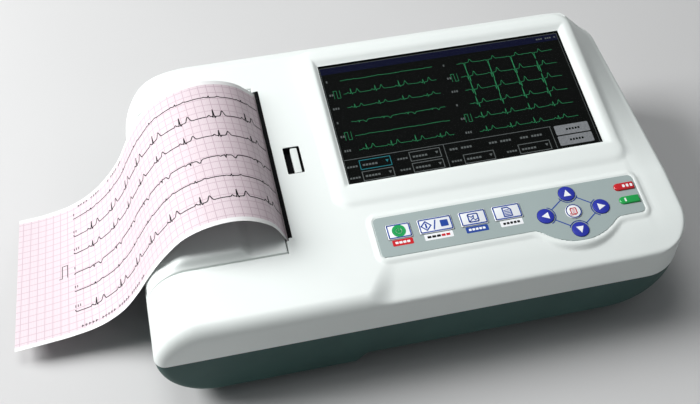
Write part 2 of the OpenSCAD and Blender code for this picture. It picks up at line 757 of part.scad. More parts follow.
module bin_profile(r, top) {
    intersection() {
        union() {
            translate(roll) circle(r, $fn = 96);
            translate([roll[0] - r, roll[1]]) square([2 * r, 60]);
        }
        translate([-200, -100]) square([200, 100 + top]);
    }
}
module paper_bin() {
    color(grey) difference() {
        union() {
            on_deck() along_v(-50, 64.9) bin_profile(bin_out, bin_top);
            box([-121, -46, -4.5], [-104, -43, 20]);
            box([-121, 54, -4.5], [-104, 57, 30]);
        }
        on_deck() {
            along_v(-48.5, 63.4) bin_profile(bin_in, bin_top + 1);
            along_v(-60, 70) union() {
                translate(roll) circle(3.5 + shaft_gap, $fn = 48);
                translate([roll[0] - 3.5 - shaft_gap, roll[1]]) square([7 + 2 * shaft_gap, 60]);
            }
        }
    }
}
module paper_sensor() {
    color(black) on_deck() {
        box([-91.2, 4, bin_top], [-86, 12, bin_top + 4]);
        box([-89.8, 5, bin_top - 4], [-88, 11, bin_top]);
    }
}
core_r = 9;
module paper_roll() {
    color(paper_pink) difference() {
        rod(roll, roll_r, paper_v0, paper_v1, 128);
        rod(roll, core_r, paper_v0 - 1, paper_v1 + 1);
    }
}
module roll_core() {
    color([0.7, 0.6, 0.45]) difference() {
        rod(roll, core_r, paper_v0, paper_v1);
        rod(roll, core_r - 1.4, paper_v0 - 1, paper_v1 + 1);
    }
}
module roll_spindle() {
    color(white) union() {
        rod(roll, core_r - 1.4, paper_v0 + 0.3, paper_v1 - 0.3);
        rod(roll, 3.5, -52, 66.4);
    }
}
// the web runs over the roll, under the platen and up past the print head
web_t = 0.12;
web_r = platen_r + 0.45;
centre_gap = norm(platen - roll);
web_gap = 0.35;
cross_a = asin((roll_r + web_gap + web_r) / centre_gap);
touch_a = atan2(platen[1] - roll[1], platen[0] - roll[0]) + 90 - cross_a;
function web_line(t) = concat(
    [along(roll, roll_r + web_gap + t, touch_a)],
    [for (k = [0:8]) along(platen, web_r - t, touch_a + 180 + k * (180 - touch_a) / 8)],
    [[platen[0] + web_r - t, -1.6]]);
module paper_web() {
    back = web_line(web_t);
    color(paper_pink) on_deck() along_v(paper_v0, paper_v1)
        polygon(concat(web_line(0), [for (i = [len(back) - 1:-1:0]) back[i]]));
}
module tear_bar() {
    color(black) on_deck() along_v(slot_v0 + 0.2, slot_v1 - 0.2)
        polygon([[tear_u0, -4.4], [tear_u1 - 0.1, -4.4], [tear_u1 - 0.1, 0.1],
                 [tear_u0 + 0.8, 0.5], [tear_u0, 0]]);
}

// ---- printed strip ------------------------------------------------------
// x and z of the rear edge and of the front edge, in equal steps from the slot to the free end
rear_edge = [[-74.3, 75.3], [-87, 87], [-103.5, 92], [-121, 89.5], [-136.5, 81], [-147.5, 67.5], [-156, 52],
             [-163.5, 35.5], [-173, 21], [-185, 8], [-200, -1.5], [-217, -6.5], [-234.5, -8.5]];
front_edge = [[-74.3, 63], [-82.5, 79], [-97.5, 88], [-115, 88], [-131.5, 81], [-144, 68], [-154, 53.5],
              [-163, 38], [-173.5, 24], [-188, 13.5], [-205, 8], [-222.5, 5], [-240, 2.6]];
rear_edge_y = 62.4;
front_edge_y = -47;
strip_t = 0.3;
strip_steps = 3;
// position t along a smooth curve through the points p, where t counts points
function curve_at(p, t) = let (
    last = len(p) - 1,
    i = min(floor(t), last - 1),
    f = t - i,
    a = i > 0 ? p[i - 1] : 2 * p[0] - p[1],
    b = p[i],
    c = p[i + 1],
    d = i + 2 > last ? 2 * p[last] - p[last - 1] : p[i + 2])
    b + f * ((c - a) + f * ((2 * a - 5 * b + 4 * c - d) + f * (3 * b - a - 3 * c + d))) / 2;
// the four corners of the strip at position t: rear and front below, then front and rear above
function strip_corners(t) = let (
    low = [rear_edge, front_edge],
    y = [rear_edge_y, front_edge_y],
    step = 1 / strip_steps,
    end = len(rear_edge) - 1,
    at = [for (e = low) curve_at(e, t)],
    along = [for (e = low) curve_at(e, min(t + step, end)) - curve_at(e, max(t - step, 0))],
    up = [for (d = along) strip_t * [d[1], 0, -d[0]] / norm(d)],
    p = [for (k = [0, 1]) [at[k][0], y[k], at[k][1]]])
    [p[0], p[1], p[1] + up[1], p[0] + up[0]];
module printed_strip() {
    n = strip_steps * (len(rear_edge) - 1);
    corners = [for (i = [0:n]) each strip_corners(i / strip_steps)];
    // both faces are split along the same diagonals, so that a twist keeps its thickness
    sides = [for (i = [0:n - 1]) let (j = 4 * i) each [
        [j, j + 1, j + 5], [j, j + 5, j + 4],
        [j + 1, j + 2, j + 6], [j + 1, j + 6, j + 5],
        [j + 2, j + 3, j + 6], [j + 3, j + 7, j + 6],
        [j + 3, j, j + 4], [j + 3, j + 4, j + 7]]];
    m = 4 * n;
    color(paper_pink) polyhedron(corners, concat(
        [[3, 2, 1], [3, 1, 0]], sides, [[m, m + 1, m + 2], [m, m + 2, m + 3]]));
}

// ---- printer cover ------------------------------------------------------
module printer_cover() {
    color(white) difference() {
        union() {
            intersection() {
                difference() {
                    top_outer();
                    top_inner();
                }
                box([left_x - 10, cover_y0, cover_skirt_z], [cover_u1, cover_y1, 120]);
            }
            on_deck() hull() {
                box([-141, -55, -1.2], [-95, 65.4, -1]);
                box([-132, -51, 3.4], [-101, 61.4, 3.6]);
            }
            on_deck() for (l = [front_lug, rear_lug]) along_v(l[0], l[1])
                polygon([[-86, -2], [-86, -11.5], [-84, -16], [-77, -16], [-75.8, -12], [-75.8, -2]]);
            on_deck() {
                box([-88.2, -54.4, -7.8], [-86.4, -51.8, -2]);
                box([-91, -54.4, -7.8], [-86.4, -51.8, -6.5]);
            }
            for (k = cover_knuckles) {
                translate([pin_x, k[1], pin_z]) rotate([90, 0, 0])
                    cylinder(h = k[1] - k[0], r = knuckle_r, $fn = 40);
                translate([pin_x - 3.4, k[0], pin_z]) cube([3.4, k[1] - k[0], 4.5]);
            }
        }
        for (l = [front_lug, rear_lug]) rod(platen, bush_r, l[0] - 1, l[1] + 1);
        translate([pin_x, 70, pin_z]) rotate([90, 0, 0]) cylinder(h = 130, r = pin_r + shaft_gap, $fn = 32);
        for (k = shell_knuckles) translate([left_x - 5, k[0] - 1, cover_skirt_z - 1])
            cube([20, k[1] - k[0] + 2, 5.5]);
    }
}
module hinge_pin() {
    color(steel) translate([pin_x, 60, pin_z]) rotate([90, 0, 0]) cylinder(h = 110, r = pin_r, $fn = 32);
}

// ---- cover latch --------------------------------------------------------
module latch_slider() {
    color(white) on_deck() {
        box([-60.4, latch_v0 + 0.7, -5.2], [-56.2, latch_v1 - 0.7, -0.6]);
        box([-68, latch_v0 - 3, -6.6], [-52, latch_v1 + 3, -5.2]);
        box([-64, -57.8, -6.6], [-59.4, latch_v0, -5.2]);
        box([-94.6, -57.8, -6.2], [-60, -56.4, -4.2]);
        box([-94.6, -56.4, -6.2], [-92.4, -52, -4.2]);
    }
}
module latch_spring() {
    color(steel) {
        coil_along_u(-6, 7.2, -51.8, -45.6, 1.6, 0.35);
        on_deck() translate([-51.6, 7.2 + 1.25, -6]) rotate([0, 90, 0]) cylinder(h = 6, r = 0.3, $fn = 16);
    }
}

top_shell();
base_tray();
screen_window();
lcd_panel();
lcd_frame();
keypad_overlay();
keypad_board();
key_power();
key_start_stop();
key_mode();
key_print();
key_up();
key_left();
key_right();
key_down();
key_center();
led_window_red();
led_window_green();
tear_bar();
printer_cover();
hinge_pin();
platen_bushings();
platen_roller();
platen_shaft();
platen_gear();
idler_gear();
idler_shaft();
motor_pinion();
stepper_motor();
print_head();
head_heatsink();
head_pivot();
head_springs();
printer_frame();
paper_bin();
paper_sensor();
paper_roll();
roll_core();
roll_spindle();
paper_web();
printed_strip();
latch_slider();
latch_spring();
main_board();
power_board();
battery_pack();
battery_door();
speaker();
mains_inlet();
rocker_housing();
rocker_button();
ground_stud();
patient_connector();
network_port();
usb_port();
case_screws();
door_screws();
tall_feet();
low_feet();
rating_plate();
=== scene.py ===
"""The looks of the portable ecg machine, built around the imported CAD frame."""

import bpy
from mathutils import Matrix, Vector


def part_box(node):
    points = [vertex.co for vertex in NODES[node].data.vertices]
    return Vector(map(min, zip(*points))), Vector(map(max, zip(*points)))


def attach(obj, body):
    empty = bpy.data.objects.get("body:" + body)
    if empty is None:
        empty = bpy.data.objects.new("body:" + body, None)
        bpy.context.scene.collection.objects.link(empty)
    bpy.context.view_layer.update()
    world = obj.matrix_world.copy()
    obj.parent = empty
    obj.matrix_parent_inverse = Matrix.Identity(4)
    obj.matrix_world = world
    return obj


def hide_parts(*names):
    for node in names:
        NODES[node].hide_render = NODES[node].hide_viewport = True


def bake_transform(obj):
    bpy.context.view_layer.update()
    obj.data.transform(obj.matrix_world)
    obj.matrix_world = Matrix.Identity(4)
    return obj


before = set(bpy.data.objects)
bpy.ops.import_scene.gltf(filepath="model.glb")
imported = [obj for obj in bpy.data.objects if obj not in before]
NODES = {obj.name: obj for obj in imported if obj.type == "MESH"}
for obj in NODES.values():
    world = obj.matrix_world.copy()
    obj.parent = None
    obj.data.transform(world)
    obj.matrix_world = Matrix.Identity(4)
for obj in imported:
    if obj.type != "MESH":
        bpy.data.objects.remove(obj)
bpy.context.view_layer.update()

import math

import bmesh
import bpy
import numpy as np
from mathutils import Matrix, Vector

# ---------------------------------------------------------------- dimensions, in millimetres
MM = 0.001


def span(node):
    """The two corners of a CAD node in millimetres."""
    low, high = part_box(node)
    return np.array(low) / MM, np.array(high) / MM


CASE_LOW, CASE_HIGH = span("top_shell")
BASE_LOW, BASE_HIGH = span("base_tray")
LEFT_X, RIGHT_X = -BASE_HIGH[0], BASE_HIGH[0]
FRONT_Y, REAR_Y = BASE_LOW[1], BASE_HIGH[1]
DEPTH = REAR_Y - FRONT_Y
SPLIT_Z = CASE_LOW[2]
SUMP = -BASE_LOW[2]
DECK_H = 69.1
DECK_TILT = math.radians(6)
SCREEN_TILT = math.radians(8.5)
WALL = 2.5
REAR_NARROWING = 3.0
CORNER_FL, CORNER_FR, CORNER_REAR = 7.0, 28.0, 20.0
LEFT_ROUND = 26.0
FRONT_ROUND = 8.0
FLANK_TOP_X = RIGHT_X - 19.6
FLANK_EDGE_Z = 62.5
CHAMFER_Y = REAR_Y - 10

SCREEN_X0, SCREEN_X1 = -31.3, 128.7
SCREEN_V0, SCREEN_V1 = -17.4, 72.6
BEZEL = (-41.0, -31.0, 139.0, 86.0)
BEZEL_RISE = 2.0
PAD = (-24.0, -70.8, 136.0, -43.8)
LOBE_X, LOBE_V, LOBE_R = 93.2, -50.6, 31.6
COVER_Y0, COVER_Y1, COVER_X1 = -55.1, 65.6, -75.6
COVER_GAP = 0.5
SKIRT_Z = 43.5


def deck(y):
    return DECK_H + math.tan(DECK_TILT) * y


def screen(y):
    return DECK_H + 0.5 + math.tan(SCREEN_TILT) * y


def arc_drop(d, r):
    """How far a quarter round of radius r has fallen at distance d from its outer end."""
    inside = np.clip(r - np.asarray(d, float), 0, r)
    return r - np.sqrt(r * r - inside * inside)


def left_at(y):
    return (LEFT_X + REAR_NARROWING * (y - FRONT_Y) / DEPTH
            + arc_drop(y - FRONT_Y, CORNER_FL) + arc_drop(REAR_Y - y, CORNER_REAR))


def right_at(y):
    return RIGHT_X - arc_drop(y - FRONT_Y, CORNER_FR) - arc_drop(REAR_Y - y, CORNER_REAR)


def top_at(y):
    return np.minimum(deck(y) - arc_drop(y - FRONT_Y, FRONT_ROUND),
                      deck(CHAMFER_Y) - 0.55 * (y - CHAMFER_Y) + 0.25)


def soft_min(a, b, k):
    h = np.clip(k - np.abs(a - b), 0, None) / k
    return np.minimum(a, b) - h * h * k / 4


def soft_max(a, b, k):
    return -soft_min(-a, -b, k)


def ramp(d, slope, r):
    """Zero for d well below zero, slope times d above it, with a bend of radius about r between."""
    return slope * (d + np.sqrt(d * d + r * r)) / 2


def rect_distance(x, y, box, r):
    """Distance outside a rectangle with corners of radius r, negative inside."""
    x0, y0, x1, y1 = box
    qx = np.abs(x - (x0 + x1) / 2) - (x1 - x0) / 2 + r
    qy = np.abs(y - (y0 + y1) / 2) - (y1 - y0) / 2 + r
    outside = np.hypot(np.maximum(qx, 0), np.maximum(qy, 0))
    return outside + np.minimum(np.maximum(qx, qy), 0) - r


def pad_distance(x, v):
    """Distance outside the keypad film: a bar with a round lobe on its front side."""
    bar = rect_distance(x, v, PAD, 3)
    lobe = np.hypot(x - LOBE_X, v - LOBE_V) - LOBE_R
    lobe = np.maximum(lobe, v - (PAD[1] + 9))
    return soft_min(bar, lobe, 3.0)


def scoop(x, y):
    """The hollow for the wrist, in front of the keypad."""
    top = deck(-76.5)
    bottom = deck(FRONT_Y) - 5
    floor = top + (y + 76.5) / (FRONT_Y + 76.5) * (bottom - top) * 0.93
    a = np.array([-23, -76.5, top])
    b = np.array([-30.5, FRONT_Y - 2, bottom])
    c = np.array([-58, FRONT_Y - 2, bottom + 14])
    n = np.cross(b - a, c - a)
    side = a[2] - (n[0] * (x - a[0]) + n[1] * (y - a[1])) / n[2]
    return soft_max(floor, side, 3.0)


# ---------------------------------------------------------------- the top surface
def bezel_top(x, y):
    vs = y / math.cos(SCREEN_TILT)
    d = rect_distance(x, vs, BEZEL, 9)
    slope = 0.9 + 0.9 * np.clip((vs - BEZEL[1] - 4) / 10, 0, 1)
    raised = screen(y) + BEZEL_RISE - ramp(d, slope, 2.0)
    sides = [2 / 3.0 * (SCREEN_X0 - x), 2 / 5.5 * (x - SCREEN_X1),
             2 / 2.0 * (SCREEN_V0 - vs), 2 / 5.0 * (vs - SCREEN_V1)]
    well = screen(y) + np.maximum.reduce(sides + [np.full_like(x, 0.05)])
    return soft_min(raised, well, 0.7)


def deck_surface(x, y, row_top):
    """Height of the white top at (x, y). row_top is the plain height of that row."""
    v = y / math.cos(DECK_TILT)
    z = soft_min(row_top, scoop(x, y), 2.2)
    z = soft_max(z, bezel_top(x, y), 2.5)
    d = pad_distance(x, v)
    rim = deck(y) + 0.85 - ramp(d - 3.1, 2.2, 0.9)
    z = soft_max(z, rim, 1.2)
    floor = deck(y) + 0.2 + np.clip(d * 2.5, 0, 60)
    return np.minimum(z, floor)


def cover_bulge(x, y):
    """The raised middle of the printer cover above the deck, with sloping sides."""
    v = y / math.cos(DECK_TILT)
    front = (v + 55.1) * 1.25 - 1.0
    rear = (65.6 - v) * 1.15 - 1.2
    right = (-95 - x) * 0.8 - 1.2
    return soft_min(soft_min(soft_min(front, rear, 1.5), right, 2.0), 3.6, 1.6)


def lines(*runs):
    """Grid lines from runs of (start, end, step), sorted, with near duplicates dropped."""
    out = np.concatenate([np.arange(a, b + s / 2, s) for a, b, s in runs])
    out = np.unique(np.round(out, 3))
    keep = [out[0]]
    for value in out[1:]:
        if value - keep[-1] > 0.12:
            keep.append(value)
    return np.array(keep)


def section_rows(ys, xs, surface, t, arc_steps=20):
    """Cross-sections of the white top, one closed ring for each y, grown inwards by t."""
    rings = []
    angles = np.linspace(0, math.pi / 2, arc_steps + 1)
    for y in ys:
        xl, xr = left_at(y) + t, right_at(y) - t
        zt = float(top_at(y)) - t
        ze = min(FLANK_EDGE_Z, float(top_at(y)) - 2) - t
        arc_x = xl + LEFT_ROUND - LEFT_ROUND * np.cos(angles)
        flank = min(FLANK_TOP_X, xr - 8)
        x = np.clip(xs, arc_x[-1], flank)
        flank_x = np.linspace(flank, xr - 2.5, 8)[1:]
        flank_z = zt + (ze + 1.2 - zt) * (flank_x - flank) / (xr - 2.5 - flank)
        edge = np.linspace(0, math.pi / 2, 5)[1:]
        edge_x = xr - 2.5 + 2.5 * np.sin(edge)
        edge_z = ze - 1.5 + 2.7 * np.cos(edge)
        all_x = np.concatenate([x, flank_x, edge_x])
        plain = np.concatenate([np.full_like(x, zt), flank_z, edge_z])
        blend_zone = np.clip(all_x - (flank - 5), 0, 10)
        plain = plain - 0.25 * np.where((blend_zone > 0) & (blend_zone < 10),
                                        np.sin(blend_zone / 10 * math.pi) ** 2, 0)
        z = surface(all_x, np.full_like(all_x, y), plain)
        arc_z = SPLIT_Z + (zt - SPLIT_Z) * np.sin(angles[:-1])
        arc_z = surface(arc_x[:-1], np.full(arc_steps, y), arc_z)
        ring = [(arc_x[k], y, arc_z[k]) for k in range(arc_steps)]
        ring += [(all_x[k], y, max(z[k], SPLIT_Z + 1)) for k in range(len(all_x))]
        ring.append((xr, y, SPLIT_Z))
        if t:
            ring = [(p[0], p[1], p[2]) for p in ring]
            ring[0] = (ring[0][0], y, SPLIT_Z - t)
            ring[-1] = (xr, y, SPLIT_Z - t)
        rings.append(ring)
    return np.array(rings)


# ---------------------------------------------------------------- mesh helpers
def new_object(name, mesh):
    piece = bpy.data.objects.new(name, mesh)
    bpy.context.scene.collection.objects.link(piece)
    return piece


def mesh_from(name, points, faces):
    """An object from points in millimetres and faces."""
    mesh = bpy.data.meshes.new(name)
    mesh.from_pydata([tuple(float(c) * MM for c in p) for p in points], [], faces)
    mesh.update()
    return new_object(name, mesh)


def loft(name, rings):
    """A closed solid through rings of points that run around one section each."""
    rows, count = rings.shape[:2]
    faces = [(j * count + i, j * count + (i + 1) % count,
              (j + 1) * count + (i + 1) % count, (j + 1) * count + i)
             for j in range(rows - 1) for i in range(count)]
    faces.append(tuple(range(count))[::-1])
    faces.append(tuple((rows - 1) * count + i for i in range(count)))
    piece = mesh_from(name, rings.reshape(-1, 3), faces)
    bm = bmesh.new()
    bm.from_mesh(piece.data)
    bmesh.ops.remove_doubles(bm, verts=bm.verts, dist=2e-6)
    bmesh.ops.dissolve_degenerate(bm, edges=bm.edges, dist=1e-6)
    bmesh.ops.recalc_face_normals(bm, faces=bm.faces)
    bm.to_mesh(piece.data)
    bm.free()
    return piece


def apply_modifiers(piece):
    graph = bpy.context.evaluated_depsgraph_get()
    mesh = bpy.data.meshes.new_from_object(piece.evaluated_get(graph))
    piece.modifiers.clear()
    old = piece.data
    piece.data = mesh
    bpy.data.meshes.remove(old)
    return piece


def carve(piece, cutters, operation="DIFFERENCE"):
    """Cuts with (or adds, or keeps what is inside) each cutter and removes the cutters."""
    for cutter in cutters:
        cut = piece.modifiers.new("cut", "BOOLEAN")
        cut.operation = operation
        cut.solver = "MANIFOLD"
        cut.object = cutter
        apply_modifiers(piece)
        bpy.data.objects.remove(cutter)
    return piece


def finish_surface(piece, angle=32):
    """Smooth shading with crisp creases."""
    bm = bmesh.new()
    bm.from_mesh(piece.data)
    bmesh.ops.remove_doubles(bm, verts=bm.verts, dist=1e-6)
    bmesh.ops.dissolve_degenerate(bm, edges=bm.edges, dist=1e-6)
    bm.to_mesh(piece.data)
    bm.free()
    piece.data.shade_smooth()
    piece.data.set_sharp_from_angle(angle=math.radians(angle))
    return piece


def block(low, high, place=None):
    """A box cutter in millimetres, placed with a matrix in millimetres."""
    corners = [(x, y, z) for x in (low[0], high[0]) for y in (low[1], high[1]) for z in (low[2], high[2])]
    faces = [(0, 1, 3, 2), (4, 6, 7, 5), (0, 4, 5, 1), (2, 3, 7, 6), (0, 2, 6, 4), (1, 5, 7, 3)]
    if place is not None:
        corners = [place @ Vector(p) for p in corners]
    return mesh_from("cutter", corners, faces)


def prism(outline, n0, n1, place, name="cutter"):
    """An outline in a sloping plane, extended from height n0 to n1 above it."""
    count = len(outline)
    points = [place @ Vector((p[0], p[1], n)) for n in (n0, n1) for p in outline]
    faces = [tuple(range(count))[::-1], tuple(range(count, 2 * count))]
    faces += [(i, (i + 1) % count, count + (i + 1) % count, count + i) for i in range(count)]
    return mesh_from(name, points, faces)


DECK = Matrix.Translation((0, 0, DECK_H)) @ Matrix.Rotation(DECK_TILT, 4, "X")
SCREEN = Matrix.Translation((0, 0, DECK_H + 0.5)) @ Matrix.Rotation(SCREEN_TILT, 4, "X")


def circle(x, y, r, count=32, start=0.0, end=2 * math.pi):
    closed = abs(end - start - 2 * math.pi) < 1e-6
    steps = count if closed else count - 1
    return [(x + r * math.cos(start + (end - start) * k / steps),
             y + r * math.sin(start + (end - start) * k / steps)) for k in range(count)]


def round_rect(x0, y0, x1, y1, r, count=6):
    out = []
    for cx, cy, a in ((x1 - r, y1 - r, 0), (x0 + r, y1 - r, 90), (x0 + r, y0 + r, 180), (x1 - r, y0 + r, 270)):
        out += circle(cx, cy, r, count, math.radians(a), math.radians(a + 90))
    return out


# ---------------------------------------------------------------- materials
def principled(name, color, roughness, metallic=0.0, **inputs):
    material = bpy.data.materials.new(name)
    material.use_nodes = True
    shader = material.node_tree.nodes["Principled BSDF"]
    shader.inputs["Base Color"].default_value = (*color, 1)
    shader.inputs["Roughness"].default_value = roughness
    shader.inputs["Metallic"].default_value = metallic
    for key, value in inputs.items():
        shader.inputs[key.replace("_", " ")].default_value = value
    return material, material.node_tree, shader


def noise(tree, scale, detail=2.0, rough=0.5, stretch=None):
    coords = tree.nodes.new("ShaderNodeTexCoord")
    texture = tree.nodes.new("ShaderNodeTexNoise")
    texture.inputs["Scale"].default_value = scale
    texture.inputs["Detail"].default_value = detail
    texture.inputs["Roughness"].default_value = rough
    source = coords.outputs["Object"]
    if stretch:
        mapping = tree.nodes.new("ShaderNodeMapping")
        mapping.inputs["Scale"].default_value = stretch
        tree.links.new(source, mapping.inputs["Vector"])
        source = mapping.outputs["Vector"]
    tree.links.new(source, texture.inputs["Vector"])
    return texture.outputs["Fac"]


def ramp_color(tree, factor, low, high, low_at=0.3, high_at=0.7):
    node = tree.nodes.new("ShaderNodeValToRGB")
    node.color_ramp.elements[0].position = low_at
    node.color_ramp.elements[0].color = (*low, 1)
    node.color_ramp.elements[1].position = high_at
    node.color_ramp.elements[1].color = (*high, 1)
    tree.links.new(factor, node.inputs["Fac"])
    return node.outputs["Color"]


def ramp_value(tree, factor, low, high):
    node = tree.nodes.new("ShaderNodeMapRange")
    node.inputs["To Min"].default_value = low
    node.inputs["To Max"].default_value = high
    tree.links.new(factor, node.inputs["Value"])
    return node.outputs["Result"]


def bump(tree, shader, height, strength, distance):
    node = tree.nodes.new("ShaderNodeBump")
    node.inputs["Strength"].default_value = strength
    node.inputs["Distance"].default_value = distance
    tree.links.new(height, node.inputs["Height"])
    tree.links.new(node.outputs["Normal"], shader.inputs["Normal"])


def moulded(name, color, roughness, grain=1500.0, relief=0.12, shift=0.03, **inputs):
    """Moulded plastic: a fine spark-eroded grain with slow changes of shade."""
    material, tree, shader = principled(name, color, roughness, **inputs)
    low = tuple(c * (1 - shift) for c in color)
    high = tuple(min(1, c * (1 + shift)) for c in color)
    tree.links.new(ramp_color(tree, noise(tree, 25, 3), low, high), shader.inputs["Base Color"])
    tree.links.new(ramp_value(tree, noise(tree, 60, 3), roughness - 0.05, roughness + 0.06),
                   shader.inputs["Roughness"])
    bump(tree, shader, noise(tree, grain, 2), relief, 0.00006)
    return material


def metal(name, color, roughness, stretch=(1, 1, 1), grain=900.0):
    material, tree, shader = principled(name, color, roughness, metallic=1.0)
    low = tuple(c * 0.86 for c in color)
    tree.links.new(ramp_color(tree, noise(tree, grain, 3, 0.6, stretch), low, color), shader.inputs["Base Color"])
    tree.links.new(ramp_value(tree, noise(tree, grain / 2, 2, 0.5, stretch), roughness - 0.08, roughness + 0.1),
                   shader.inputs["Roughness"])
    bump(tree, shader, noise(tree, grain, 2, 0.5, stretch), 0.1, 0.00004)
    return material


MAT = {
    "white": moulded("white_shell", (0.80, 0.845, 0.825), 0.36, relief=0.10, shift=0.012),
    "dark": moulded("dark_base", (0.038, 0.092, 0.084), 0.5, relief=0.25, shift=0.12, Specular_IOR_Level=0.25),
    "grey": moulded("grey_plastic", (0.42, 0.45, 0.45), 0.5),
    "film": moulded("keypad_film", (0.34, 0.41, 0.405), 0.5, grain=2600, relief=0.08, shift=0.02),
    "key_white": moulded("key_white", (0.84, 0.87, 0.90), 0.35, relief=0.05, shift=0.01),
    "key_blue": moulded("key_blue", (0.022, 0.035, 0.36), 0.4, relief=0.05, Specular_IOR_Level=0.3),
    "blue_ink": moulded("blue_ink", (0.015, 0.06, 0.33), 0.45, relief=0.05, Specular_IOR_Level=0.2),
    "red_ink": moulded("red_ink", (0.58, 0.012, 0.02), 0.45, relief=0.05, Specular_IOR_Level=0.2),
    "green_ink": moulded("green_ink", (0.012, 0.34, 0.09), 0.45, relief=0.05, Specular_IOR_Level=0.2),
    "black_ink": moulded("black_ink", (0.010, 0.010, 0.012), 0.6, relief=0.05, Specular_IOR_Level=0.1),
    "white_ink": moulded("white_ink", (0.86, 0.88, 0.90), 0.45, relief=0.05, shift=0.01),
    "black": moulded("black_plastic", (0.012, 0.013, 0.014), 0.45),
    "matt_black": moulded("matt_black", (0.005, 0.005, 0.006), 0.7, relief=0.05, Specular_IOR_Level=0.08),
    "red_lens": moulded("red_lens", (0.55, 0.012, 0.02), 0.18, relief=0.03, Coat_Weight=0.6),
    "green_lens": moulded("green_lens", (0.01, 0.36, 0.07), 0.18, relief=0.03, Coat_Weight=0.6),
    "rubber": moulded("rubber", (0.018, 0.018, 0.018), 0.75, grain=700, relief=0.4, shift=0.2),
    "steel": metal("steel", (0.62, 0.63, 0.65), 0.35, (1, 14, 1)),
    "screw": metal("screw_steel", (0.55, 0.56, 0.58), 0.3),
    "aluminium": metal("aluminium", (0.74, 0.75, 0.77), 0.32, (1, 20, 1)),
    "brass": metal("brass", (0.72, 0.55, 0.24), 0.3, (1, 1, 8)),
    "nylon": moulded("nylon", (0.78, 0.78, 0.70), 0.45, shift=0.03, Subsurface_Weight=0.1),
    "board": moulded("solder_mask", (0.015, 0.16, 0.07), 0.3, grain=500, relief=0.2, shift=0.25),
    "cells": moulded("cell_wrap", (0.05, 0.11, 0.36), 0.28, grain=300, relief=0.1, shift=0.06),
    "ceramic": moulded("ceramic", (0.80, 0.77, 0.70), 0.25, relief=0.04),
    "card": moulded("card", (0.42, 0.30, 0.17), 0.85, grain=500, relief=0.5, shift=0.12),
    "plain_paper": moulded("plain_paper", (0.86, 0.78, 0.80), 0.8, grain=1200, relief=0.3, shift=0.02),
}


def glowing(name, color, strength):
    """Something lit on the display, a little uneven as pixels are."""
    material, tree, shader = principled(name, (0.003, 0.003, 0.003), 0.5, Specular_IOR_Level=0.02)
    low = tuple(c * 0.75 for c in color)
    tree.links.new(ramp_color(tree, noise(tree, 900, 1), low, color), shader.inputs["Emission Color"])
    shader.inputs["Emission Strength"].default_value = strength
    return material


MAT["lcd"] = glowing("lcd_black", (0.003, 0.004, 0.003), 0.7)
MAT["trace"] = glowing("lcd_trace", (0.05, 0.42, 0.17), 0.8)
MAT["text_lit"] = glowing("lcd_marks", (0.34, 0.38, 0.38), 0.45)
MAT["title_lit"] = glowing("lcd_title", (0.005, 0.007, 0.035), 0.8)
MAT["teal_lit"] = glowing("lcd_teal", (0.04, 0.36, 0.42), 0.7)
MAT["button_lit"] = glowing("lcd_button", (0.34, 0.36, 0.38), 0.8)


def glass_material():
    material, tree, shader = principled("window_glass", (0.006, 0.007, 0.008), 0.06)
    shader.inputs["Alpha"].default_value = 0.10
    shader.inputs["Specular IOR Level"].default_value = 0.12
    bump(tree, shader, noise(tree, 30, 1), 0.02, 0.0002)
    return material


MAT["glass"] = glass_material()


def paint(piece, material):
    piece.data.materials.clear()
    piece.data.materials.append(MAT[material])
    return piece


# ---------------------------------------------------------------- white top
def gap_rounding(x, y, z):
    """Rolls the edge of the top over beside the printer cover."""
    box_x1, y0, y1 = COVER_X1 + COVER_GAP, COVER_Y0 - COVER_GAP, COVER_Y1 + COVER_GAP
    d = rect_distance(x, y, (-400, y0, box_x1, y1), 0.01)
    drop = np.where(d > 0, arc_drop(d, 0.8), 0.8)
    return z - drop


def top_surface(x, y, plain):
    return gap_rounding(x, y, deck_surface(x, y, plain))


def edge_lines(at, reach=1.0):
    """Close grid lines on one side and the other of an edge."""
    return [(at - reach, at + reach, 0.2)]


